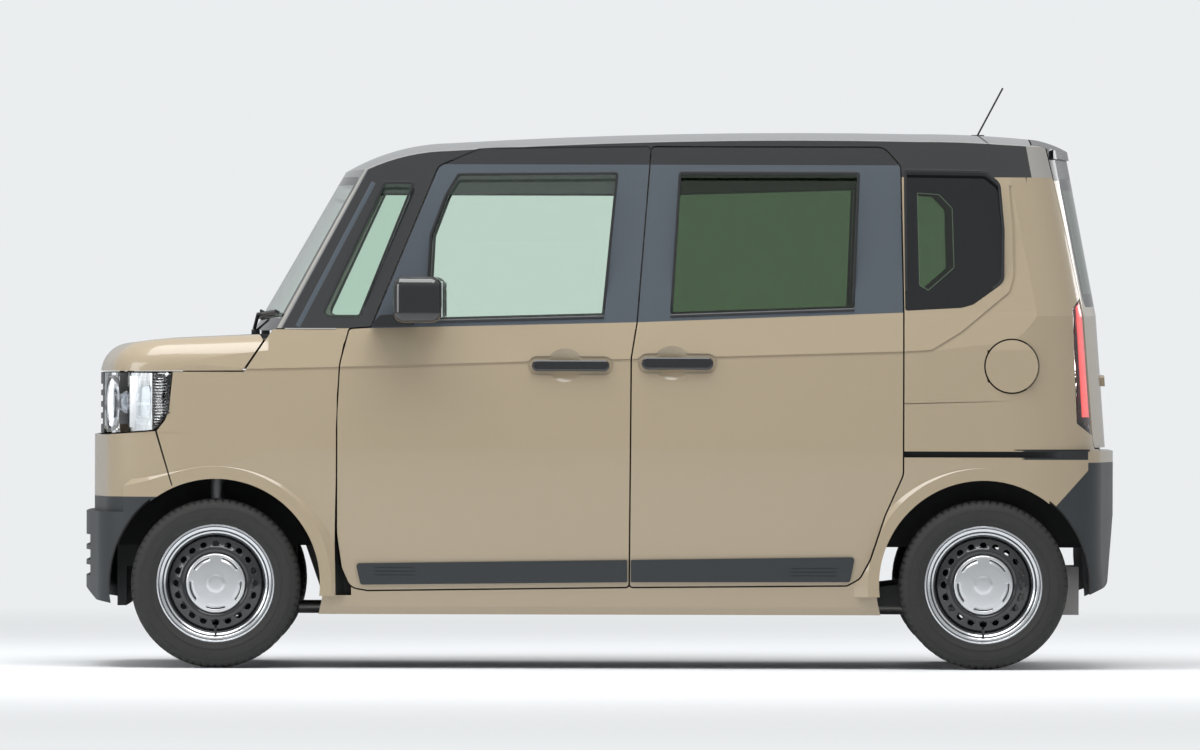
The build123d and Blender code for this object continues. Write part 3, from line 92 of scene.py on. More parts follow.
class Tree:
    """A material's node tree round one Principled shader, with short calls for the nodes used here."""

    def __init__(self, name, **values):
        self.material = bpy.data.materials.new(name)
        self.material.use_nodes = True
        tree = self.material.node_tree
        self.nodes, self.links = tree.nodes, tree.links
        self.nodes.clear()
        self.output = self.nodes.new("ShaderNodeOutputMaterial")
        self.shader = self.nodes.new("ShaderNodeBsdfPrincipled")
        self.links.new(self.shader.outputs[0], self.output.inputs[0])
        coordinates = self.nodes.new("ShaderNodeTexCoord")
        self.place, self.facing = coordinates.outputs["Object"], coordinates.outputs["Normal"]
        self.axes = {}
        for socket, value in values.items():
            self.put(socket.replace("_", " ").title().replace("Ior", "IOR"), value)

    def put(self, socket, value):
        self.feed(self.shader.inputs[socket], value)

    def finish(self, colour, roughness, coat=None):
        """Sets the surface's look and gives its material."""
        self.put("Base Color", colour)
        self.put("Roughness", roughness)
        if coat is not None:
            self.put("Coat Weight", coat)
        return self.material

    def feed(self, target, value):
        if isinstance(value, bpy.types.NodeSocket):
            self.links.new(value, target)
        else:
            target.default_value = value

    def axis(self, letter, source=None):
        """One coordinate of the place on the object, or of another vector."""
        key = (letter, source)
        if key not in self.axes:
            node = self.nodes.new("ShaderNodeSeparateXYZ")
            self.links.new(source or self.place, node.inputs[0])
            for name in "XYZ":
                self.axes[(name, source)] = node.outputs[name]
        return self.axes[key]

    def maths(self, operation, first, second=0.0, clamp=False):
        node = self.nodes.new("ShaderNodeMath")
        node.operation, node.use_clamp = operation, clamp
        self.feed(node.inputs[0], first)
        self.feed(node.inputs[1], second)
        return node.outputs[0]

    def plus(self, first, second, clamp=False):
        return self.maths("ADD", first, second, clamp)

    def minus(self, first, second):
        return self.maths("SUBTRACT", first, second)

    def times(self, first, second):
        return self.maths("MULTIPLY", first, second)

    def share(self, value, low, high):
        """0 below low, 1 above high, and the share of the way between them."""
        return self.maths("DIVIDE", self.minus(value, low), high - low, clamp=True)

    def above(self, value, level, soft=0.0006):
        """1 where value is over level, 0 below, with a narrow soft edge."""
        over = self.minus(value, level)
        return self.plus(self.maths("DIVIDE", over, soft), 0.5, clamp=True)

    def both(self, first, second):
        return self.times(first, second)

    def either(self, first, second):
        return self.maths("MAXIMUM", first, second)

    def mix(self, factor, first, second):
        """Colours or plain numbers mixed by a factor."""
        ends = (first, second)
        coloured = any(isinstance(end, tuple) or getattr(end, "type", "") == "RGBA" for end in ends)
        node = self.nodes.new("ShaderNodeMix")
        node.data_type = "RGBA" if coloured else "FLOAT"
        self.feed(node.inputs[0], factor)
        for socket, end in zip((6, 7) if coloured else (2, 3), ends):
            self.feed(node.inputs[socket], end)
        return node.outputs[2 if coloured else 0]

    def inverse(self, value):
        return self.minus(1.0, value)

    def noise(self, scale, detail=2.0):
        node = self.nodes.new("ShaderNodeTexNoise")
        node.inputs["Scale"].default_value = scale
        node.inputs["Detail"].default_value = detail
        self.links.new(self.place, node.inputs["Vector"])
        return node.outputs["Fac"]

    def within(self, letter, low, high):
        """1 between two levels of a coordinate."""
        value = self.axis(letter)
        return self.both(self.above(value, low), self.above(high, value))

    def spread(self, value, low, high):
        """A 0 to 1 value brought between two numbers."""
        return self.plus(self.times(value, high - low), low)

    def tinted(self, colour, amount, scale, detail=3.0):
        """A colour that varies a little over the surface."""
        dark = tuple(part * (1 - amount) for part in colour[:3]) + (1,)
        light = tuple(min(1, part * (1 + amount)) for part in colour[:3]) + (1,)
        return self.mix(self.noise(scale, detail), dark, light)

    def distance(self, first, second):
        """Length of a line with these two sides."""
        return self.maths("SQRT", self.plus(self.both(first, first), self.both(second, second)))

    def blend(self, factor, other):
        """Shows another shader where factor is 1, and gives the material."""
        mixer = self.nodes.new("ShaderNodeMixShader")
        for socket, source in zip(mixer.inputs, (factor, self.shader.outputs[0], other.outputs[0])):
            self.links.new(source, socket)
        self.links.new(mixer.outputs[0], self.output.inputs[0])
        return self.material

    def bump(self, height, strength, distance):
        node = self.nodes.new("ShaderNodeBump")
        node.inputs["Strength"].default_value = strength
        node.inputs["Distance"].default_value = distance
        self.feed(node.inputs["Height"], height)
        self.put("Normal", node.outputs[0])

    def side_depth(self):
        """How far a point is inside the body side's outer skin, in metres."""
        z = self.axis("Z")
        level = self.minus(z, self.times(self.axis("X"), BELT_SLOPE))
        belt = self.share(level, CREASE_Z, BELT_Z)
        glass = self.share(level, BELT_Z, RAIL_Z)
        low = self.inverse(self.share(z, SILL_Z, WAIST_Z))
        tuck = self.times(self.both(low, low), SILL_IN)
        belt_in = self.times(belt, BELT_IN)
        narrow = self.plus(belt_in, self.times(glass, GLASS_IN))
        skin = self.minus(HALF_WIDTH, self.plus(narrow, tuck))
        return self.minus(skin, self.maths("ABSOLUTE", self.axis("Y")))


def belt_level(tree):
    """Height of the belt line, where the black sashes begin."""
    x = tree.axis("X")
    front = tree.plus(tree.times(x, 0.0242), 1.1351)
    rear = tree.plus(tree.times(x, 0.0389), 1.1333)
    return tree.either(front, rear)


def orange_peel(tree):
    tree.bump(tree.noise(900, 1.0), 0.04, 0.0004)


def paint_tree(name):
    """Clear-coated paint with a faint orange-peel surface."""
    tree = Tree(name, coat_roughness=0.05, coat_ior=1.5, ior=1.45)
    orange_peel(tree)
    return tree


def beige(tree):
    return tree.tinted(BEIGE, 0.03, 2400)


def part_paint(tree, other, colour, rough=LINING_ROUGH):
    """Beige paint, with a plain finish where other is 1."""
    return tree.finish(tree.mix(other, beige(tree), colour), tree.mix(other, PAINT_ROUGH, rough),
                       tree.mix(other, PAINT_COAT, 0.0))


def beige_paint(name):
    """Body colour on every face."""
    tree = paint_tree(name)
    return tree.finish(beige(tree), PAINT_ROUGH, PAINT_COAT)


def side_paint(name):
    """Body sides: painted outside, trim colour inside the cabin, and the dark trim colour as painted shade in
    the sliding door's rail slot.
    """
    tree = paint_tree(name)
    depth = tree.side_depth()
    lined = tree.both(tree.above(depth, 0.016), tree.within("X", *CABIN_X))
    # The rail slot's recessed faces get the dark trim colour as painted shade.
    slot_area = tree.both(tree.within("Z", *RAIL_SLOT_Z), tree.within("X", *RAIL_SLOT_X))
    slot_shade = tree.both(slot_area, tree.above(depth, 0.005))
    return part_paint(tree, tree.either(lined, slot_shade), DARK_TRIM_AND_SLOT_SHADE)


def tailgate_paint(name):
    """Tailgate: painted outside, black along the roof and on the faces towards the cabin."""
    tree = paint_tree(name)
    forward = tree.above(-0.3, tree.axis("X", tree.facing), SOFT_TURN)
    lip = tree.above(tree.axis("Z"), ROOF_EDGE_Z)
    return part_paint(tree, tree.either(forward, lip), ROOF_BLACK, tree.mix(lip, LINING_ROUGH, 0.2))


def door_paint(name):
    """Beige below the belt, satin grey sashes, gloss black above the windows, lined inside."""
    tree = paint_tree(name)
    z = tree.axis("Z")
    sash = tree.above(z, belt_level(tree))
    head = tree.above(z, DOOR_HEAD_Z)
    lined = tree.above(tree.side_depth(), 0.018)
    outer = tree.mix(sash, beige(tree), tree.tinted(SASH_GREY, 0.06, 1200))
    lining = tree.mix(tree.above(LINING_TOP_Z, z), DARK_TRIM_AND_SLOT_SHADE, LINING)
    rough = tree.mix(head, tree.mix(sash, PAINT_ROUGH, SASH_ROUGH), 0.16)
    coat = tree.mix(head, tree.mix(sash, PAINT_COAT, SASH_COAT), 1.0)
    colour = tree.mix(lined, tree.mix(head, outer, ROOF_BLACK), lining)
    return tree.finish(colour, tree.mix(lined, rough, 0.7), tree.mix(lined, coat, 0.0))


def roof_paint(name, lined_of):
    """Gloss black outside, pale cloth lining inside. lined_of gives the mask of the lining."""
    tree = Tree(name, coat_roughness=0.04, coat_ior=1.5)
    orange_peel(tree)
    lined = lined_of(tree)
    colour = tree.mix(lined, tree.tinted(ROOF_BLACK, 0.1, 1500), LINING)
    return tree.finish(colour, tree.mix(lined, 0.18, 0.9), tree.mix(lined, 1.0, 0.0))


def facing_down(tree):
    down = tree.above(-0.3, tree.axis("Z", tree.facing), SOFT_TURN)
    return tree.both(down, tree.above(tree.axis("X"), -0.86))


def inner_pillar(tree):
    return tree.above(tree.side_depth(), 0.024)


def plastic(name, colour, roughness, grain=1400, depth=0.25, coat=0.0, mottle=0.12):
    """Moulded plastic with a fine grain."""
    tree = Tree(name, ior=1.47, coat_roughness=0.06)
    tree.bump(tree.noise(grain, 3.0), depth, 0.0006)
    worn = tree.spread(tree.noise(6, 3.0), roughness - 0.05, roughness + 0.07)
    return tree.finish(tree.tinted(colour, mottle, grain * 0.4), worn, coat)


def metal(name, colour, roughness, scale=700, depth=0.05):
    tree = Tree(name, metallic=1.0)
    grain = tree.noise(scale, 3.0)
    tree.bump(grain, depth, 0.0003)
    rough = tree.spread(grain, roughness * 0.8, roughness * 1.25)
    return tree.finish(tree.tinted(colour, 0.04, scale), rough)


def turned_metal(name, colour, roughness):
    """Metal with fine rings round the axle."""
    tree = Tree(name, metallic=1.0)
    along = tree.minus(tree.maths("ABSOLUTE", tree.axis("X")), AXLE_X)
    radius = tree.distance(along, tree.minus(tree.axis("Z"), TYRE_R))
    rings = tree.maths("SINE", tree.times(radius, 9000))
    tree.bump(rings, 0.06, 0.0002)
    return tree.finish(tree.tinted(colour, 0.03, 300), tree.spread(rings, roughness, roughness + 0.03))


def rubber(name, colour=(0.017, 0.0165, 0.016, 1), roughness=0.72, grain=500):
    tree = Tree(name, ior=1.5)
    tree.bump(tree.noise(grain, 4.0), 0.15, 0.0008)
    rough = tree.spread(tree.noise(60, 4.0), roughness - 0.1, roughness + 0.1)
    return tree.finish(tree.tinted(colour, 0.25, 30, 5.0), rough)


def glass(name, tint, frit=None):
    """Tinted glass that lets the lamps through. frit gives a mask of the black printed edge."""
    tree = Tree(name, roughness=0.0, ior=1.5, base_color=tint)
    tree.put("Transmission Weight", 1.0)
    clear = tree.nodes.new("ShaderNodeBsdfTransparent")
    clear.inputs[0].default_value = tint
    rays = tree.nodes.new("ShaderNodeLightPath")
    passes = tree.either(rays.outputs["Is Shadow Ray"], rays.outputs["Is Diffuse Ray"])
    if frit is not None:
        mask = frit(tree)
        tree.put("Base Color", tree.mix(mask, tint, (0.006, 0.007, 0.008, 1)))
        tree.put("Transmission Weight", tree.mix(mask, 1.0, 0.0))
        tree.put("Roughness", tree.mix(mask, 0.0, 0.06))
        passes = tree.both(passes, tree.inverse(mask))
    return tree.blend(passes, clear)


def glow(name, colour, strength):
    tree = Tree(name, emission_color=colour, emission_strength=strength)
    return tree.finish(tree.tinted(colour, 0.1, 200), 0.3, 1.0)


def weave(name, colour, scale=700):
    """Woven seat cloth: crossed threads with a fine speckle, darkened as painted shade in the low parts of
    the weave.
    """
    tree = Tree(name, sheen_weight=0.25, sheen_roughness=0.5)
    waves = scale * 4
    across = tree.maths("SINE", tree.times(tree.axis("Y"), waves))
    length = tree.plus(tree.axis("X"), tree.axis("Z"))
    along = tree.maths("SINE", tree.times(length, waves))
    height = tree.spread(tree.both(across, along), 0.3, 1.0)
    # dark is the cloth darkened as painted shade, shown where the weave's threads lie low.
    dark = tuple(part * 0.6 for part in colour[:3]) + (1,)
    tree.bump(height, 0.5, 0.0008)
    return tree.finish(tree.mix(height, dark, tree.tinted(colour, 0.2, 900)), 0.9)


def inside_outline(tree, points, soft=0.004):
    """1 inside a convex side-view outline of (x, z) corners given anticlockwise from the left side."""
    x, z = tree.axis("X"), tree.axis("Z")
    mask = 1.0
    for (x0, z0), (x1, z1) in zip(points, points[1:] + points[:1]):
        run, climb = x1 - x0, z1 - z0
        length = hypot(run, climb)
        up = tree.times(tree.minus(z, z0), run / length)
        along = tree.times(tree.minus(x, x0), climb / length)
        mask = tree.both(mask, tree.above(tree.minus(up, along), 0.0, soft))
    return mask


QUARTER_CLEAR = [
    (1.048, 1.262), (1.077, 1.246), (1.161, 1.320), (1.155, 1.515), (1.112, 1.560), (1.041, 1.565),
]


def quarter_frit(tree):
    """Black band round the clear middle of the quarter glass."""
    clear = inside_outline(tree, QUARTER_CLEAR)
    return tree.both(tree.inverse(clear), tree.above(tree.axis("X"), QUARTER_GLASS_X))


def edge_band(foot_z, lean, half, low_z, high_z):
    """Mask of the black band round a front or rear glass, which narrows upwards from foot_z."""
    def mask(tree):
        z = tree.axis("Z")
        narrow = tree.times(tree.minus(z, foot_z), lean)
        edge = tree.above(tree.plus(tree.maths("ABSOLUTE", tree.axis("Y")), narrow), half, 0.003)
        ends = tree.either(tree.above(z, high_z, 0.004), tree.above(low_z, z, 0.004))
        return tree.either(edge, ends)
    return mask


def door_trim(name):
    """Dark plastic cladding low on the door, gloss black handles."""
    tree = Tree(name, ior=1.47, coat_roughness=0.06)
    high = tree.above(tree.axis("Z"), HANDLE_LOW_Z)
    tree.bump(tree.noise(1400, 3.0), 0.12, 0.0005)
    colour = tree.mix(high, tree.tinted(CLADDING, 0.12, 560), DEEP_BLACK)
    worn = tree.spread(tree.noise(6, 3.0), 0.45, 0.57)
    return tree.finish(colour, tree.mix(high, worn, 0.14), tree.mix(high, 0.0, 0.8))


PAINT = beige_paint("beige_paint")
DOOR = door_paint("door_paint")
SIDE_PAINT = side_paint("side_paint")
TAILGATE_PAINT = tailgate_paint("tailgate_paint")
ROOF = roof_paint("roof_paint", facing_down)
PILLARS = roof_paint("pillar_paint", inner_pillar)
DOOR_TRIM = door_trim("door_trim")
# Grey satin used only on the front pillar strips, where its grey is a painted highlight.
PILLAR_HIGHLIGHT_GREY = plastic("pillar_highlight_grey", SASH_GREY, 0.42, 1200, 0.05, 0.1)
BLACK_PLASTIC = plastic("cladding_plastic", CLADDING, 0.5)
GLOSS_BLACK = plastic("gloss_black", DEEP_BLACK, 0.12, 300, 0.02, 0.8)
SATIN_BLACK = plastic("satin_black", (0.018, 0.020, 0.023, 1), 0.38, 1800, 0.1)
INNER_PLASTIC = plastic("inner_plastic", (0.022, 0.022, 0.023, 1), 0.62, 1600, 0.3)
FRONT_GLASS = glass("front_glass", (0.80, 0.90, 0.83, 1))
CORNER_GLASS = glass("corner_glass", (0.72, 0.85, 0.76, 1))
SCREEN_GLASS = glass("screen_glass", (0.84, 0.93, 0.88, 1), edge_band(1.108, 0.136, 0.615, 1.150, 1.585))
PRIVACY_GLASS = glass("privacy_glass", (0.24, 0.33, 0.22, 1), quarter_frit)
TAILGATE_GLASS = glass("tailgate_glass_tint", (0.22, 0.30, 0.21, 1),
                       edge_band(1.19, 0.081, 0.515, 1.235, 1.575))
CLEAR_LENS = glass("clear_lens", (0.95, 0.97, 0.98, 1))
SMOKED_LENS = glass("smoked_lens", (0.80, 0.70, 0.70, 1))
CHROME = metal("chrome", (0.80, 0.81, 0.83, 1), 0.07, 400, depth=0.01)
SILVER = turned_metal("wheel_silver", (0.62, 0.64, 0.66, 1), 0.24)
CAP_METAL = metal("cap_silver", (0.60, 0.61, 0.62, 1), 0.30, 900)
STEEL = metal("bare_steel", (0.36, 0.35, 0.34, 1), 0.42, 300, depth=0.2)
ALUMINIUM = metal("cast_aluminium", (0.45, 0.45, 0.46, 1), 0.48, 500, depth=0.3)
CHASSIS = plastic("chassis_paint", (0.020, 0.020, 0.021, 1), 0.55, 200, 0.2)
UNDERBODY = plastic("underbody_paint", (0.06, 0.058, 0.052, 1), 0.7, 240, 0.4)
DISH_BLACK = plastic("wheel_black", (0.010, 0.011, 0.013, 1), 0.16, 500, 0.03, 0.7)
TYRE = rubber("tyre_rubber")
SEAL = rubber("seal_rubber", (0.010, 0.011, 0.012, 1), 0.5, 1500)
WHITE_LAMP = plastic("lamp_white", (0.72, 0.74, 0.76, 1), 0.22, 300, 0.02, 0.6, 0.02)
DRL = glow("lamp_ring_light", (0.92, 0.95, 1.0, 1), 0.7)
RED_LIGHT = glow("tail_light_red", (1.0, 0.13, 0.13, 1), 0.9)
CLOTH = weave("seat_cloth", (0.045, 0.042, 0.040, 1))
CLOTH_LIGHT = weave("seat_cloth_light", (0.16, 0.145, 0.12, 1))
CARPET = rubber("carpet", (0.018, 0.018, 0.019, 1), 0.95, 300)
MIRROR_GLASS = metal("mirror_glass", (0.85, 0.87, 0.88, 1), 0.015, 300, depth=0.0)

NODES_OF = {
    PAINT: "bonnet front_bumper front_fenders fuel_lid rear_bumper",
    SIDE_PAINT: "side_frames",
    TAILGATE_PAINT: "tailgate",
    DOOR: "sliding_doors front_door_left front_door_right",
    DOOR_TRIM: "sliding_door_trims front_door_left_trim front_door_right_trim",
    ROOF: "roof_panel",
    PILLARS: "roof_rails",
    BLACK_PLASTIC: "front_bumper_skirt rear_bumper_skirt cowl",
    SATIN_BLACK: "front_grille antenna",
    GLOSS_BLACK: "tail_lamps mirror_left mirror_right",
    CHROME: "headlamps",
    FRONT_GLASS: "front_door_left_glass front_door_right_glass",
    CORNER_GLASS: "corner_glasses",
    PRIVACY_GLASS: "rear_side_glasses",
    SCREEN_GLASS: "windscreen",
    TAILGATE_GLASS: "tailgate_glass",
    UNDERBODY: "floor_pan",
    CARPET: "arch_liners",
    CHASSIS: "front_frame front_subframe rear_axle suspension_springs",
    ALUMINIUM: "engine knuckle_left knuckle_right",
    INNER_PLASTIC: "fuel_tank dashboard steering_wheel",
    CLOTH: "front_seats rear_seats",
}
NODE_MATERIALS = {name: material for material, names in NODES_OF.items() for name in names.split()}
for name, obj in NODES.items():
    obj.data.materials.clear()
    obj.data.materials.append(NODE_MATERIALS.get(name, STEEL))


# Mesh helpers


def link(name, data):
    """New object in the scene."""
    obj = bpy.data.objects.new(name, data)
    bpy.context.scene.collection.objects.link(obj)
    return obj


def make_mesh(name, vertices, faces, material):
    mesh = bpy.data.meshes.new(name)
    mesh.from_pydata([tuple(v) for v in vertices], [], faces)
    mesh.materials.append(material)
    return mesh


def shade(mesh, degrees):
    """Smooth shading, with sharp edges over an angle."""
    mesh.shade_smooth()
    mesh.set_sharp_from_angle(angle=radians(degrees))


def add_mesh(name, vertices, faces, material, body, slot=None):
    """A mesh object that rides on a body."""
    mesh = make_mesh(name, vertices, faces, material)
    mesh.validate()
    obj = link(name, mesh)
    tidy = bmesh.new()
    tidy.from_mesh(mesh)
    bmesh.ops.remove_doubles(tidy, verts=tidy.verts, dist=0.00002)
    bmesh.ops.recalc_face_normals(tidy, faces=tidy.faces)
    tidy.to_mesh(mesh)
    tidy.free()
    shade(mesh, 35)
    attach(obj, body)
    return obj


def revolve(profile, centre, outward, steps=96, closed=False):
    """Surface turned about an axle: profile is (radius, distance out along the axle)."""
    vertices, faces = [], []
    for index in range(steps):
        angle = tau * index / steps
        for radius, out in profile:
            vertices.append((centre[0] + radius * cos(angle), centre[1] + outward * out,
                             centre[2] + radius * sin(angle)))
    size = len(profile)
    for index in range(steps):
        here, follow = index * size, (index + 1) % steps * size
        for row in range(size if closed else size - 1):
            ahead = (row + 1) % size
            faces.append((here + row, here + ahead, follow + ahead, follow + row))
    return vertices, faces


def joined(*parts):
    """Several (vertices, faces) pairs as one."""
    vertices, faces = [], []
    for points, polygons in parts:
        base = len(vertices)
        vertices += list(points)
        faces += [tuple(index + base for index in polygon) for polygon in polygons]
    return vertices, faces


def heading(line, index, closed):
    """Direction of a line at one of its points."""
    if closed:
        return (line[(index + 1) % len(line)] - line[index - 1]).normalized()
    return (line[min(index + 1, len(line) - 1)] - line[max(index - 1, 0)]).normalized()


def tube(points, radius, sides=10, closed=False, flat=1.0, up=(0, 0, 1)):
    """Round bar along a line of points."""
    line = [Vector(p) for p in points]
    count = len(line)
    vertices, faces = [], []
    across = None
    for index, here in enumerate(line):
        ahead = heading(line, index, closed)
        if across is None:
            across = ahead.cross(Vector(up))
            if across.length < 0.01:
                across = ahead.cross(Vector((1, 0, 0)))
        across = (across - ahead * across.dot(ahead)).normalized()
        lift = across.cross(ahead)
        for turn in range(sides):
            angle = tau * turn / sides
            vertices.append(here + across * radius * cos(angle) + lift * radius * flat * sin(angle))
    spans = count if closed else count - 1
    for index in range(spans):
        here, follow = index * sides, (index + 1) % count * sides
        for turn in range(sides):
            ahead = (turn + 1) % sides
            faces.append((here + turn, here + ahead, follow + ahead, follow + turn))
    if not closed:
        faces.append(tuple(range(sides)))
        faces.append(tuple((count - 1) * sides + turn for turn in reversed(range(sides))))
    return vertices, faces


def block(low, high, radius):
    """Rounded block between two corners, as mesh data."""
    shape = bmesh.new()
    bmesh.ops.create_cube(shape, size=1.0)
    size = [b - a for a, b in zip(low, high)]
    middle = [(a + b) / 2 for a, b in zip(low, high)]
    for vertex in shape.verts:
        vertex.co = Vector(c * s + m for c, s, m in zip(vertex.co, size, middle))
    bmesh.ops.bevel(shape, geom=list(shape.edges), offset=radius, segments=3, affect="EDGES", profile=0.5)
    vertices = [v.co.copy() for v in shape.verts]
    faces = [tuple(v.index for v in face.verts) for face in shape.faces]
    shape.free()
    return vertices, faces


def rounded_loop(corners, steps=6):
    """Closed line through corners (x, z, radius), with each corner as an arc."""
    points = []
    count = len(corners)
    for index, (x, z, radius) in enumerate(corners):
        here = Vector((x, z))
        back = (Vector(corners[index - 1][:2]) - here).normalized()
        ahead = (Vector(corners[(index + 1) % count][:2]) - here).normalized()
        half = back.angle(ahead) / 2
        reach = radius / tan(half)
        start, end = here + back * reach, here + ahead * reach
        for step in range(steps + 1):
            share = step / steps
            low = start.lerp(here, share)
            high = here.lerp(end, share)
            points.append(low.lerp(high, share))
    return points


def split_even(points, spacing):
    """The same closed line with points close together."""
    result = []
    for here, follow in zip(points, points[1:] + points[:1]):
        count = max(1, round((follow - here).length / spacing))
        result += [here.lerp(follow, step / count) for step in range(count)]
    return result


def tree_of(node):
    """Search tree over a node's surface."""
    shape = bmesh.new()
    shape.from_mesh(NODES[node].data)
    found = BVHTree.FromBMesh(shape)
    shape.free()
    return found


def on_side(search, x, z, sign, fallback=0.7):
    """Sideways place of the outer skin at a point of the side view."""
    hit = search.ray_cast(Vector((x, sign * 2, z)), Vector((0, -sign, 0)))
    return hit[0].y if hit[0] else sign * fallback


def ribbon(line, search, sign, width, proud, closed=True):
    """Strip along a side-view line, raised off the skin: a flat top with two sloping edges."""
    foot = -0.003
    section = ((0.0, foot), (0.0, proud * 0.6), (0.2, proud), (0.8, proud), (1.0, proud * 0.6), (1.0, foot))
    count = len(line)
    vertices, faces = [], []
    for index, here in enumerate(line):
        ahead = heading(line, index, closed)
        normal = Vector((-ahead.y, ahead.x))
        base = on_side(search, here.x, here.y, sign)
        for offset, lift in section:
            point = here + normal * (offset * width)
            vertices.append((point.x, base + sign * lift, point.y))
    size = len(section)
    spans = count if closed else count - 1
    for index in range(spans):
        here, follow = index * size, (index + 1) % count * size
        for row in range(size - 1):
            faces.append((here + row, here + row + 1, follow + row + 1, follow + row))
    return vertices, faces


# Wheels


def tyre_mesh(centre, outward):
    """Tyre with three grooves, cut shoulders and ringed side walls."""
    half = 0.0785
    wall = [
        (0.180, 0.062), (0.186, 0.0665), (0.194, 0.0690), (0.198, 0.0725), (0.2015, 0.0725),
        (0.206, 0.0745), (0.213, 0.0765), (0.2135, 0.0775), (0.2165, 0.0778), (0.217, 0.0768),
        (0.226, half - 0.0010), (0.236, half), (0.2445, half - 0.0008), (0.2450, half - 0.0002),
        (0.2480, half - 0.0006), (0.2485, half - 0.0018), (0.256, 0.0748), (0.2625, 0.0712),
        (0.2685, 0.0665), (0.2725, 0.0620),
    ]
    shoulder = [(0.2745, 0.0585), (0.2765, 0.0520), (0.2773, 0.0420), (0.2776, 0.0365)]
    groove = [(0.2715, 0.0350), (0.2715, 0.0290), (0.2780, 0.0275)]
    middle = [(0.2785, 0.0070), (0.2725, 0.0060), (0.2725, 0.0000)]
    upper = wall + shoulder + groove + middle
    profile = upper + [(radius, -out) for radius, out in reversed(upper[:-1])]
    profile += [(0.1785, -0.061), (0.1785, 0.061)]
    steps = 288
    vertices, faces = revolve(profile, centre, outward, steps, closed=True)
    size = len(profile)

    def rows_between(least_r, near, far):
        return {row for row, (radius, out) in enumerate(profile)
                if radius > least_r and near < abs(out) < far}

    shoulder_rows = rows_between(0.2680, 0.040, 0.068)
    inner_rows = rows_between(0.2775, 0.006, 0.030)
    cut_depth = 0.0045
    middle = Vector(centre)
    for index in range(steps):
        rows = set()
        if index % 4 == 0:
            rows |= shoulder_rows
        if index % 8 == 3:
            rows |= inner_rows
        for row in rows:
            place = Vector(vertices[index * size + row]) - middle
            flat = Vector((place.x, 0, place.z))
            scale = (flat.length - cut_depth) / flat.length
            vertices[index * size + row] = middle + Vector((place.x * scale, place.y, place.z * scale))
    return vertices, faces


def dish_depth(radius):
    """Distance of the wheel's black disc out along the axle at a radius."""
    table = ((0.020, 0.020), (0.070, 0.022), (0.098, 0.040), (0.108, 0.046), (0.116, 0.0455), (0.124, 0.040),
             (0.138, 0.034), (0.150, 0.0300), (0.158, 0.0270))
    for (low_r, low), (high_r, high) in zip(table, table[1:]):
        if radius <= high_r:
            return low + (high - low) * max(0, radius - low_r) / (high_r - low_r)
    return table[-1][1]


def holed_ring(centre, outward, count=20, inner=0.118, outer=0.146, hole_r=0.131, wide=0.0112, tall=0.0078):
    """Ring with a row of oval holes, one sector at a time."""
    per_side = 6
    sector = tau / count
    line = [-1 + 2 * i / per_side for i in range(per_side)]
    unit = [(s, -1) for s in line] + [(1, s) for s in line]
    unit += [(-s, 1) for s in line] + [(-1, -s) for s in line]
    vertices, faces = [], []

    def place(angle, radius, sunk=0.0):
        out = dish_depth(radius) - sunk
        return (centre[0] + radius * cos(angle), centre[1] + outward * out, centre[2] + radius * sin(angle))

    for index in range(count):
        middle = index * sector
        base = len(vertices)
        size = len(unit)
        for u, v in unit:
            angle = middle + u * sector / 2
            radius = (outer + inner) / 2 + v * (outer - inner) / 2
            vertices.append(place(angle, radius))
        for grow, sunk in ((1.12, 0.0), (1.0, 0.0012), (0.98, 0.005)):
            for u, v in unit:
                turn = atan2(v, u)
                along = wide * grow * cos(turn)
                radial = hole_r + tall * grow * sin(turn)
                vertices.append(place(middle + along / hole_r, radial, sunk))
        for ring in range(base, base + 3 * size, size):
            for step in range(size):
                follow = (step + 1) % size
                faces.append((ring + step, ring + follow, ring + size + follow, ring + size + step))
    return vertices, faces


def cap_mesh(centre, outward, slots=5, slot_r=0.084, slot_half=0.0021, spread=23):
    """Domed wheel cap with arc slots near its rim and a plain boss."""
    rings = [
        (0.0, 0.0560), (0.010, 0.0560), (0.020, 0.0558), (0.0255, 0.0552), (0.0285, 0.0538),
        (0.0310, 0.0531), (0.0345, 0.0530), (0.050, 0.0527), (0.070, 0.0517), (slot_r - slot_half, 0.0505),
        (slot_r + slot_half, 0.0501), (0.0915, 0.0490), (0.0955, 0.0475), (0.0975, 0.0450),
        (0.0980, 0.0415), (0.0970, 0.0400),
    ]
    steps = 180
    vertices, faces = revolve(rings, centre, outward, steps)
    size = len(rings)
    row = next(i for i, (radius, _) in enumerate(rings) if abs(radius - slot_r + slot_half) < 1e-6)
    kept = []
    for polygon in faces:
        index, ring = divmod(polygon[0], size)
        angle = (index + 0.5) * 360 / steps
        near = min(abs((angle - 270 - 360 / slots * k + 180) % 360 - 180) for k in range(slots))
        if ring != row or near >= spread:
            kept.append(polygon)
    return vertices, kept


def solid(obj, thickness):
    """Gives a surface a wall, inwards from where it is."""
    modifier = obj.modifiers.new("wall", "SOLIDIFY")
    modifier.thickness, modifier.offset = thickness, -1


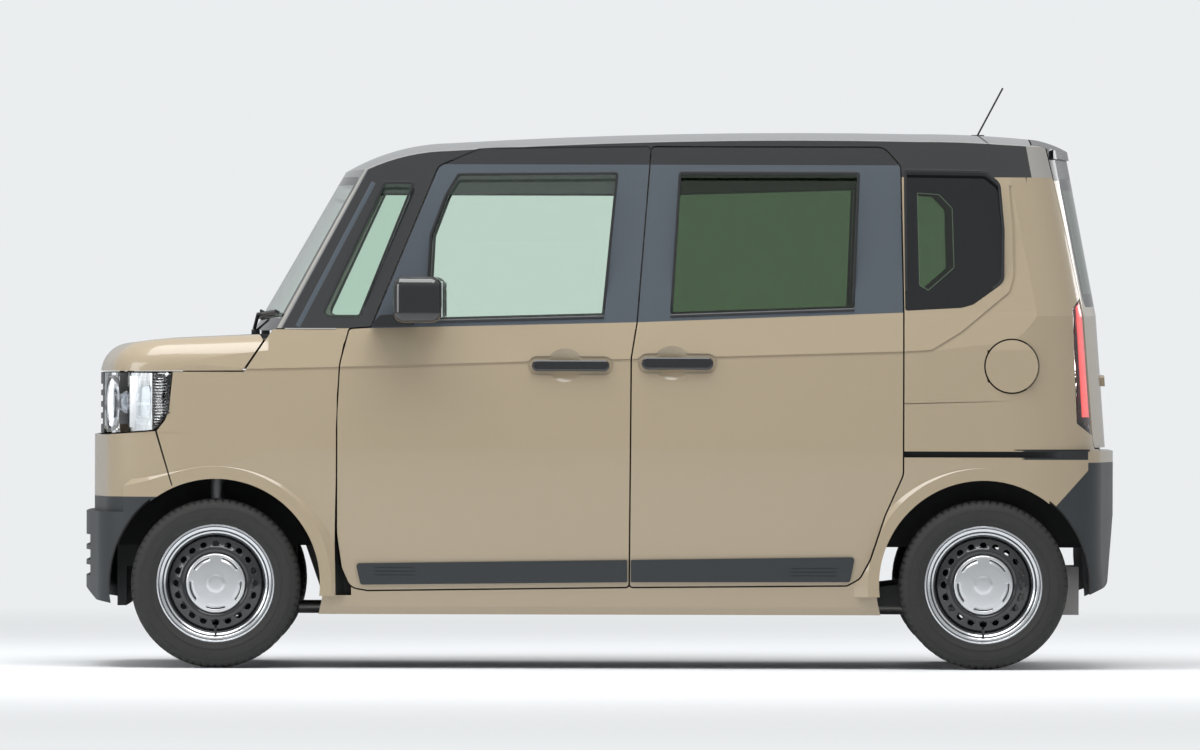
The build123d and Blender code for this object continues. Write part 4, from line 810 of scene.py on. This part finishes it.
RIM_FACE = [
    (0.1930, 0.0692), (0.1915, 0.0700), (0.1890, 0.0700), (0.1872, 0.0682), (0.1862, 0.0655),
    (0.1790, 0.0640), (0.1760, 0.0625), (0.1735, 0.0580), (0.1722, 0.0480), (0.1700, 0.0425),
    (0.1660, 0.0400), (0.1640, 0.0385),
]
RIM_LIP = [
    (0.1785, 0.0590), (0.1800, 0.0625), (0.1865, 0.0655), (0.1905, 0.0680), (0.1930, 0.0692),
    (0.1935, 0.0672), (0.1910, 0.0655),
]
WELL = [(0.1640, 0.0385), (0.1610, 0.0345), (0.1590, 0.0290), (0.1580, 0.0270)]
BARREL = [
    (0.1735, 0.0400), (0.1730, 0.0340), (0.1570, 0.0220), (0.1570, -0.0220), (0.1730, -0.0340),
    (0.1730, -0.0610), (0.1750, -0.0650), (0.1870, -0.0680), (0.1890, -0.0700), (0.1935, -0.0700),
    (0.1935, -0.0650), (0.1785, -0.0610), (0.1785, -0.0340), (0.1620, -0.0220), (0.1620, 0.0220),
    (0.1785, 0.0340), (0.1785, 0.0590),
]
DISC_OUTER_RADII = (0.146, 0.150, 0.158)
DISC_INNER_RADII = (0.020, 0.070, 0.090, 0.098, 0.104, 0.108, 0.112, 0.118)
CAP_BACKING = [(0.0, 0.0475), (0.092, 0.0455), (0.0965, 0.0400)]
VALVE_STEM = [(0.030, 0.1570), (0.044, 0.1575), (0.056, 0.1550), (0.066, 0.1510)]
VALVE_CROWN = [(0.0655, 0.1512), (0.0690, 0.1500)]
BRAKES = {
    "front": [(0.040, 0.004), (0.115, 0.004), (0.117, 0.002), (0.117, -0.006), (0.115, -0.008),
              (0.060, -0.008)],
    "rear": [(0.040, 0.010), (0.100, 0.010), (0.106, 0.004), (0.106, -0.030), (0.110, -0.034),
             (0.110, -0.040), (0.050, -0.040)],
}


def make_wheel(end, side, x, sign):
    """Tyre, rim, holed disc, cap, valve and brake of one wheel."""
    body = f"wheel_{end}_{side}"
    centre = (x, sign * TRACK_HALF, TYRE_R)

    def turned(profile, steps):
        return revolve(profile, centre, sign, steps)

    def dish(radii):
        return turned([(radius, dish_depth(radius)) for radius in radii], 120)

    def valve_part(points, radius):
        return tube([(x, sign * (TRACK_HALF + out), TYRE_R - drop) for out, drop in points], radius, 12)

    tyre = add_mesh(f"tread_{end}_{side}", *tyre_mesh(centre, sign), TYRE, body, slot="tyre")
    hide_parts(f"tyre_{end}_{side}")
    add_mesh(f"rim_lip_{end}_{side}", *joined(turned(RIM_FACE, 128), turned(RIM_LIP, 128)), SILVER, body)
    disc_parts = joined(turned(WELL, 128), turned(BARREL, 96), dish(DISC_OUTER_RADII),
                        holed_ring(centre, sign), dish(DISC_INNER_RADII))
    disc = add_mesh(f"wheel_disc_{end}_{side}", *disc_parts, DISH_BLACK, body)
    solid(disc, 0.0028)
    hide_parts(f"rim_{end}_{side}")
    cap = add_mesh(f"wheel_cap_{end}_{side}", *cap_mesh(centre, sign), CAP_METAL, body)
    solid(cap, 0.0016)
    add_mesh(f"cap_backing_{end}_{side}", *turned(CAP_BACKING, 60), SEAL, body)
    valve = joined(valve_part(VALVE_STEM, 0.0042), valve_part(VALVE_CROWN, 0.0052))
    add_mesh(f"valve_{end}_{side}", *valve, SEAL, body)
    add_mesh(f"brake_{end}_{side}", *turned(BRAKES[end], 64), STEEL, body)


for end, end_x in (("front", -AXLE_X), ("rear", AXLE_X)):
    for side, sign in SIDES:
        make_wheel(end, side, end_x, sign)


# Lamps


def skin_of(node, sign, way):
    """Outward faces of one side's lamp, as a copy. way is 1 for a lamp that faces the rear, or -1."""
    shape = bmesh.new()
    shape.from_mesh(NODES[node].data)
    drop = [face for face in shape.faces if face.calc_center_median().y * sign < 0
            or max(face.normal.x * way, face.normal.y * sign) <= 0.3]
    bmesh.ops.delete(shape, geom=drop, context="FACES")
    bmesh.ops.remove_doubles(shape, verts=shape.verts, dist=0.0001)
    return shape


def banded(shape, planes):
    """A copy of a surface, cut by planes: (point, direction that goes away)."""
    piece = shape.copy()
    for point, direction in planes:
        geometry = list(piece.verts) + list(piece.edges) + list(piece.faces)
        bmesh.ops.bisect_plane(piece, geom=geometry, plane_co=point, plane_no=direction, clear_outer=True)
    return piece


def sunk(shape, depth):
    shape.normal_update()
    for vertex in shape.verts:
        vertex.co -= vertex.normal * depth
    return shape


def add_shape(name, shape, material, body, thickness):
    """Object from a bmesh surface, given a wall thickness inwards."""
    shape.verts.index_update()
    faces = [tuple(v.index for v in face.verts) for face in shape.faces]
    mesh = make_mesh(name, [v.co for v in shape.verts], faces, material)
    obj = link(name, mesh)
    shade(mesh, 40)
    solid(obj, thickness)
    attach(obj, body)
    return obj


def bowl_from(shape, near, deep):
    """Housing behind a lens: the surface sunk deep, with walls up to just behind the lens."""
    shape.normal_update()
    shape.verts.index_update()
    top = [v.co - v.normal * near for v in shape.verts]
    low = [v.co - v.normal * deep for v in shape.verts]
    count = len(top)
    faces = [tuple(v.index + count for v in face.verts) for face in shape.faces]
    for edge in shape.edges:
        if edge.is_boundary:
            a, b = (v.index for v in edge.verts)
            faces.append((a, b, b + count, a + count))
    return top + low, faces


def plane(axis, level, way):
    """Cutting plane across an axis (0, 1 or 2), which takes away what lies beyond it that way."""
    point, direction = Vector(), Vector()
    point[axis], direction[axis] = level, way
    return point, direction


X, Y, Z = range(3)
LENS_WALL = 0.0025
LENS_BACK = 0.0035
BLOCK_X = (-1.541, -1.468)
BLOCK_Z = (0.790, 0.958)
RIBS_X = -1.466
RIB_COUNT, RIB_LOW_Z, RIB_STEP, RIB_TALL = 17, 0.800, 0.0096, 0.0045
RING_CENTRE = (-1.605, 0.545, 0.868)
RING_R, RING_TUBE_R, RING_BOW = 0.078, 0.007, 0.004
BAR_TOP, BAR_FOOT = (1.568, 1.205), (1.590, 0.830)
BAR_INNER_Y = 0.610

for side, sign in SIDES:
    skin = skin_of("headlamps", sign, -1)
    lens = add_shape(f"headlamp_lens_{side}", sunk(skin.copy(), 0.0002), CLEAR_LENS, "body", LENS_WALL)
    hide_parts("headlamps")
    add_mesh(f"headlamp_bowl_{side}", *bowl_from(skin, LENS_BACK, 0.055), CHROME, "body")
    white = banded(skin, [plane(X, BLOCK_X[0], -1), plane(X, BLOCK_X[1], 1), plane(Z, BLOCK_Z[1], 1),
                          plane(Z, BLOCK_Z[0], -1)])
    add_shape(f"headlamp_block_{side}", sunk(white, 0.012), WHITE_LAMP, "body", 0.02)
    ribbed = banded(skin, [plane(X, RIBS_X, -1)])
    add_shape(f"headlamp_rib_back_{side}", sunk(ribbed, 0.022), SATIN_BLACK, "body", 0.004)
    for index in range(RIB_COUNT):
        z = RIB_LOW_Z + index * RIB_STEP
        rib = banded(skin, [plane(X, RIBS_X, -1), plane(Z, z, -1), plane(Z, z + RIB_TALL, 1)])
        if rib.faces:
            add_shape(f"headlamp_rib_{side}_{index}", sunk(rib, 0.008), GLOSS_BLACK, "body", 0.012)
    ring = []
    for k in range(64):
        angle = tau * k / 64
        ring.append((RING_CENTRE[0] + RING_BOW * cos(2 * angle), sign * RING_CENTRE[1] + RING_R * sin(angle),
                     RING_CENTRE[2] + RING_R * cos(angle)))
    add_mesh(f"headlamp_ring_{side}", *tube(ring, RING_TUBE_R, 12, closed=True), DRL, "body")

bar_front = Vector((BAR_FOOT[1] - BAR_TOP[1], 0, BAR_TOP[0] - BAR_FOOT[0])).normalized()
for side, sign in SIDES:
    skin = skin_of("tail_lamps", sign, 1)
    lens = add_shape(f"tail_lens_{side}", sunk(skin.copy(), 0.0002), SMOKED_LENS, "body", LENS_WALL)
    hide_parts("tail_lamps")
    add_mesh(f"tail_bowl_{side}", *bowl_from(skin, LENS_BACK, 0.030), GLOSS_BLACK, "body")
    bar = banded(skin, [(Vector((BAR_TOP[0], 0, BAR_TOP[1])), bar_front), plane(Y, sign * BAR_INNER_Y, -sign),
                        plane(Z, BAR_TOP[1], 1), plane(Z, BAR_FOOT[1], -1)])
    if bar.faces:
        add_shape(f"tail_bar_{side}", sunk(bar, LENS_BACK), RED_LIGHT, "body", 0.006)


# Window seals


WINDOWS = {
    "front": [(-0.468, 1.627, 0.010), (-0.511, 1.556, 0.030), (-0.561, 1.424, 0.060), (-0.568, 1.290, 0.060),
              (-0.562, 1.142, 0.012), (0.014, 1.158, 0.012), (0.060, 1.632, 0.014)],
    "sliding": [(0.257, 1.634, 0.014), (0.852, 1.634, 0.014), (0.835, 1.184, 0.014), (0.229, 1.162, 0.014)],
    "quarter": [(1.001, 1.178, 0.008), (1.187, 1.188, 0.060), (1.225, 1.199, 0.030), (1.326, 1.272, 0.050),
                (1.327, 1.445, 0.200), (1.313, 1.598, 0.040), (1.264, 1.640, 0.040), (0.996, 1.644, 0.008)],
    "corner": [(-0.920, 1.150, 0.025), (-0.712, 1.600, 0.016), (-0.606, 1.600, 0.016),
               (-0.787, 1.150, 0.020)],
}


def clockwise(points):
    area = sum(a.x * b.y - b.x * a.y for a, b in zip(points, points[1:] + points[:1]))
    return points if area < 0 else list(reversed(points))


SEAL_WIDTH, SEAL_PROUD, SEAL_STEP = 0.009, 0.0022, 0.03
for side, sign in SIDES:
    door = f"front_door_{side}"
    panes = {"front": (door + "_glass", door), "sliding": ("rear_side_glasses", "body"),
             "quarter": ("rear_side_glasses", "body"), "corner": ("corner_glasses", "body")}
    for window, corners in WINDOWS.items():
        node, body = panes[window]
        line = split_even(clockwise(rounded_loop(corners)), SEAL_STEP)
        strip = ribbon(line, tree_of(node), sign, -SEAL_WIDTH, SEAL_PROUD)
        add_mesh(f"seal_{window}_{side}", *strip, SEAL, body)

BELT_BARS = {"front": ((-0.560, 1.1415), (0.012, 1.1575)), "sliding": ((0.231, 1.1615), (0.833, 1.1835))}
BAR_R = 0.006


def side_line(start, end, steps):
    """Points between two places of the side view."""
    return [Vector(start).lerp(Vector(end), step / steps) for step in range(steps + 1)]


for side, sign in SIDES:
    door = f"front_door_{side}"
    carriers = {"front": (door, door), "sliding": ("sliding_doors", "body")}
    for window, ends in BELT_BARS.items():
        node, body = carriers[window]
        search = tree_of(node)
        points = [(p.x, on_side(search, p.x, p.y - BAR_R, sign) - sign * 0.001, p.y - 0.002)
                  for p in side_line(*ends, 24)]
        add_mesh(f"belt_bar_{window}_{side}", *tube(points, BAR_R, 10, up=(0, sign, 0)), SATIN_BLACK, body)


# Raised grey satin strips along the front pillars, their grey a painted highlight on the black pillars, and
# the door mirrors' glass


PILLAR_HIGHLIGHT_STRIP = ((-1.000, 1.125), (-0.752, 1.600))
STRIP_WIDTH, STRIP_PROUD = 0.018, 0.0015
MIRROR_OUT = 0.105
MIRROR_GLASS_X = (-0.5195, -0.5165)
MIRROR_GLASS_Z = (1.152, 1.270)
MIRROR_GLASS_HALF = 0.072
pillars = tree_of("roof_rails")
for side, sign in SIDES:
    # The raised strip's grey is a painted highlight along the black front pillar.
    strip = ribbon(side_line(*PILLAR_HIGHLIGHT_STRIP, 16), pillars, sign, -STRIP_WIDTH, STRIP_PROUD, closed=False)
    add_mesh(f"pillar_highlight_strip_{side}", *strip, PILLAR_HIGHLIGHT_GREY, "body")
    y = sign * (HALF_WIDTH + MIRROR_OUT)
    pane = block((MIRROR_GLASS_X[0], y - MIRROR_GLASS_HALF, MIRROR_GLASS_Z[0]),
                 (MIRROR_GLASS_X[1], y + MIRROR_GLASS_HALF, MIRROR_GLASS_Z[1]), 0.0012)
    add_mesh(f"mirror_glass_{side}", *pane, MIRROR_GLASS, f"front_door_{side}")


# Wipers


SCREEN = tree_of("windscreen")
WIPERS = {"left": ((-0.04, 1.150), (-0.56, 1.168), -0.20), "right": ((0.54, 1.150), (0.06, 1.168), 0.36)}
BLADE_STEPS = 20
COWL_X, COWL_BOW, COWL_Z = -1.150, 0.25, 1.098
PIVOT_HALF = 0.014


def on_screen(y, z, lift):
    """Point just in front of the windscreen at a width and a height."""
    hit = SCREEN.ray_cast(Vector((-3, y, z)), Vector((1, 0, 0)))
    return hit[0] - Vector((lift, 0, 0))


for name, (inner, outer, pivot) in WIPERS.items():
    blade = [on_screen(p.x, p.y, 0.006) for p in side_line(inner, outer, BLADE_STEPS)]
    spine = [p + Vector((-0.008, 0, 0.004)) for p in blade]
    foot = Vector((COWL_X + COWL_BOW * pivot * pivot, pivot, COWL_Z))
    middle = BLADE_STEPS // 2
    arm = [foot, foot + Vector((-0.004, 0, 0.016)), spine[middle - 1] - Vector((0.012, 0, 0)), spine[middle]]
    cover = block(foot - Vector((PIVOT_HALF, PIVOT_HALF, 0.008)), foot + Vector((PIVOT_HALF,) * 3), 0.004)
    parts = joined(tube(blade, 0.0045, 8, flat=1.3), tube(spine, 0.0055, 8), tube(arm, 0.006, 8), cover)
    add_mesh(f"wiper_{name}", *parts, SATIN_BLACK, "body")


# Inner mirror


mount = on_screen(0.0, 1.545, -0.008)
stalk = tube([mount, mount + Vector((0.040, 0, -0.012)), mount + Vector((0.060, 0, -0.030))], 0.007, 10)
case = block(mount + Vector((0.048, -0.115, -0.066)), mount + Vector((0.074, 0.115, -0.006)), 0.010)
add_mesh("inner_mirror", *joined(stalk, case), SATIN_BLACK, "body")


# Seats


SEAM_DEEP, SEAM_WIDE = 0.007, 0.006
BOLSTER_FROM = 0.66
CORNER_POWER = 7.0


def pillow(centre, half, tilt, crown, seams=(), bolster=0.0, count=26):
    """Crowned closed pad: local X is thickness, Y width and Z length, with sewn channels across it."""
    grid = {}
    vertices, faces = [], []
    turn = Matrix.Rotation(tilt, 3, "Y")

    def place(u, v, w):
        """Index of the pad's point for a place on the unit cube."""
        key = (round(u, 5), round(v, 5), round(w, 5))
        if key in grid:
            return grid[key]
        size = sum(abs(part) ** CORNER_POWER for part in (u, v, w)) ** (1 / CORNER_POWER)
        u, v, w = u / size, v / size, w / size
        swell = (1 - v * v) * (1 - w * w)
        x = u * half[0] * (1 - crown + crown * swell)
        y = v * half[1] * (1 - 0.018 * (1 - w * w))
        z = w * half[2] * (1 - 0.02 * (1 - v * v) * w ** 6)
        if u > 0:
            edge = max(0.0, (abs(v) - BOLSTER_FROM) / (1 - BOLSTER_FROM))
            x += u * bolster * sin(pi * min(1, edge)) * (1 - w ** 6)
        share = 1 if abs(v) < BOLSTER_FROM else 0.4
        for seam in seams:
            gap = (w - seam) * half[2]
            x -= u * SEAM_DEEP * exp(-(gap / SEAM_WIDE) ** 2) * share
        grid[key] = len(vertices)
        vertices.append(Vector(centre) + turn @ Vector((x, y, z)))
        return grid[key]

    steps = [-1 + 2 * k / count for k in range(count + 1)]
    for fixed, first, second in ((X, Y, Z), (Y, Z, X), (Z, X, Y)):
        for level in (-1, 1):
            for a0, a1 in zip(steps, steps[1:]):
                for b0, b1 in zip(steps, steps[1:]):
                    corners = []
                    for a, b in ((a0, b0), (a1, b0), (a1, b1), (a0, b1)):
                        spot = [0, 0, 0]
                        spot[fixed], spot[first], spot[second] = level, a, b
                        corners.append(place(*spot))
                    faces.append(tuple(corners))
    return vertices, faces


# Place (x, y), width and cushion height of each seat
SEATS = {"front_left": (-0.205, -0.330, 0.52, 0.590), "front_right": (-0.205, 0.330, 0.52, 0.590),
         "rear_left": (0.688, -0.268, 0.50, 0.600), "rear_right": (0.688, 0.268, 0.50, 0.600)}
FLOOR_TOP_Z = 0.2415


def make_seat(name, x, y, width, z):
    """Cushion, back and headrest as pads, on posts and a plinth. Gives back the cushion."""
    half = width / 2
    forms = {
        "cushion": (CLOTH, 0.8, pillow((x - 0.035, y, z - 0.028), (0.062, half - 0.008, 0.205), -pi / 2, 0.18,
                                       (-0.45, 0.0, 0.45), 0.012)),
        "back": (CLOTH, 0.8, pillow((x + 0.228, y, z + 0.262), (0.052, half - 0.010, 0.305), 0.165, 0.22,
                                    (-0.35, 0.1, 0.5), -0.010)),
        "headrest": (CLOTH_LIGHT, 0.9, pillow((x + 0.308, y, z + 0.690), (0.046, 0.118, 0.090), 0.12, 0.2,
                                              count=14)),
    }
    pads = {}
    for form, (cloth, fill, shape) in forms.items():
        pad = pads[form] = add_mesh(f"seat_{form}_{name}", *shape, cloth, "body")
    hard = [tube([(x + 0.286, y + aside, z + 0.540), (x + 0.300, y + aside, z + 0.625)], 0.006, 10)
            for aside in (-0.06, 0.06)]
    hard.append(block((x - 0.19, y - half + 0.04, FLOOR_TOP_Z), (x + 0.06, y + half - 0.04, z - 0.094), 0.01))
    add_mesh(f"seat_base_{name}", *joined(*hard), INNER_PLASTIC, "body")
    return pads["cushion"]


shown = {name: make_seat(name, *places) for name, places in SEATS.items()}
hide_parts("front_seats")
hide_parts("rear_seats")


# Stage, lamps and camera


BACKGROUND = (0.83, 0.85, 0.865, 1)
FLOOR_R, FLOOR_STEPS = 12, 96
FLOOR_FADE = (4.0, 11.0)


def stage_material():
    """Pale floor that fades into the background away from the car."""
    tree = Tree("studio_floor", roughness=0.55)
    tree.put("Base Color", tree.tinted(STUDIO, 0.02, 2.0))
    tree.bump(tree.noise(40, 3.0), 0.05, 0.002)
    light = tree.nodes.new("ShaderNodeEmission")
    light.inputs[0].default_value = BACKGROUND
    away = tree.distance(tree.axis("X"), tree.axis("Y"))
    return tree.blend(tree.share(away, *FLOOR_FADE), light)


turns = [tau * k / FLOOR_STEPS for k in range(FLOOR_STEPS)]
rim = [(FLOOR_R * cos(angle), FLOOR_R * sin(angle), 0) for angle in turns]
floor = link("floor", make_mesh("floor", rim, [tuple(range(FLOOR_STEPS))], stage_material()))


# Sky colours by height, from 0 straight down to 1 straight up
SKY = ((0.40, (0.30, 0.30, 0.31, 1)), (0.52, (0.62, 0.64, 0.66, 1)), (0.85, (1.0, 1.0, 1.0, 1)))
SKY_STRENGTH = 0.75


def make_world():
    """Soft graded light, with a plain background where the camera sees it."""
    world = bpy.data.worlds.new("studio")
    bpy.context.scene.world = world
    world.use_nodes = True
    nodes, links = world.node_tree.nodes, world.node_tree.links
    nodes.clear()
    out = nodes.new("ShaderNodeOutputWorld")
    seen = nodes.new("ShaderNodeBackground")
    seen.inputs[0].default_value = BACKGROUND
    sky = nodes.new("ShaderNodeBackground")
    sky.inputs[1].default_value = SKY_STRENGTH
    ramp = nodes.new("ShaderNodeValToRGB")
    split = nodes.new("ShaderNodeSeparateXYZ")
    links.new(nodes.new("ShaderNodeTexCoord").outputs["Generated"], split.inputs[0])
    height = nodes.new("ShaderNodeMath")
    height.operation = "MULTIPLY_ADD"
    height.inputs[1].default_value = height.inputs[2].default_value = 0.5
    links.new(split.outputs["Z"], height.inputs[0])
    links.new(height.outputs[0], ramp.inputs[0])
    ends = ramp.color_ramp.elements
    ends[0].position, ends[0].color = SKY[0]
    ends[1].position, ends[1].color = SKY[2]
    ends.new(SKY[1][0]).color = SKY[1][1]
    links.new(ramp.outputs[0], sky.inputs[0])
    rays = nodes.new("ShaderNodeLightPath")
    direct = nodes.new("ShaderNodeMath")
    direct.operation = "MAXIMUM"
    links.new(rays.outputs["Is Camera Ray"], direct.inputs[0])
    links.new(rays.outputs["Is Transmission Ray"], direct.inputs[1])
    choose = nodes.new("ShaderNodeMixShader")
    for source, target in zip((direct, sky, seen), choose.inputs):
        links.new(source.outputs[0], target)
    links.new(choose.outputs[0], out.inputs[0])


make_world()


def add_lamp(name, place, target, size, power):
    data = bpy.data.lights.new(name, "AREA")
    data.shape = "RECTANGLE"
    data.size, data.size_y = size
    data.energy = power
    obj = link(name, data)
    obj.location = place
    obj.rotation_euler = (Vector(target) - Vector(place)).to_track_quat("-Z", "Y").to_euler()


add_lamp("overhead", (-0.8, -2.2, 6.0), (0, -0.2, 0.8), (7.0, 4.0), 420)
add_lamp("front_fill", (-7.0, -4.0, 2.6), (0, 0, 0.9), (3.0, 3.0), 110)
add_lamp("rear_fill", (6.0, 5.0, 3.4), (0, 0, 0.9), (4.0, 3.0), 120)

SENSOR = 36.0
CAMERA_DISTANCE = 60.0
CAMERA_HEIGHT = 1.211
CAMERA_ROLL = 0.0026
SIDE_SCALE = 0.00328
PICTURE_CENTRE_Z = 0.965
FRAME_WIDTH_PX = 1200
camera_data = bpy.data.cameras.new("camera")
camera_data.sensor_width = SENSOR
camera_data.lens = SENSOR * (CAMERA_DISTANCE - HALF_WIDTH) / (FRAME_WIDTH_PX * SIDE_SCALE)
camera_data.clip_start, camera_data.clip_end = 1.0, 300.0
camera = link("camera", camera_data)
camera.location = (0, -CAMERA_DISTANCE, CAMERA_HEIGHT)
ahead = Vector((0, -HALF_WIDTH, PICTURE_CENTRE_Z)) - camera.location
turn = ahead.to_track_quat("-Z", "Y").to_matrix().to_4x4() @ Matrix.Rotation(CAMERA_ROLL, 4, "Z")
camera.rotation_euler = turn.to_euler()
bpy.context.scene.camera = camera
bpy.context.scene.view_settings.view_transform = "Standard"
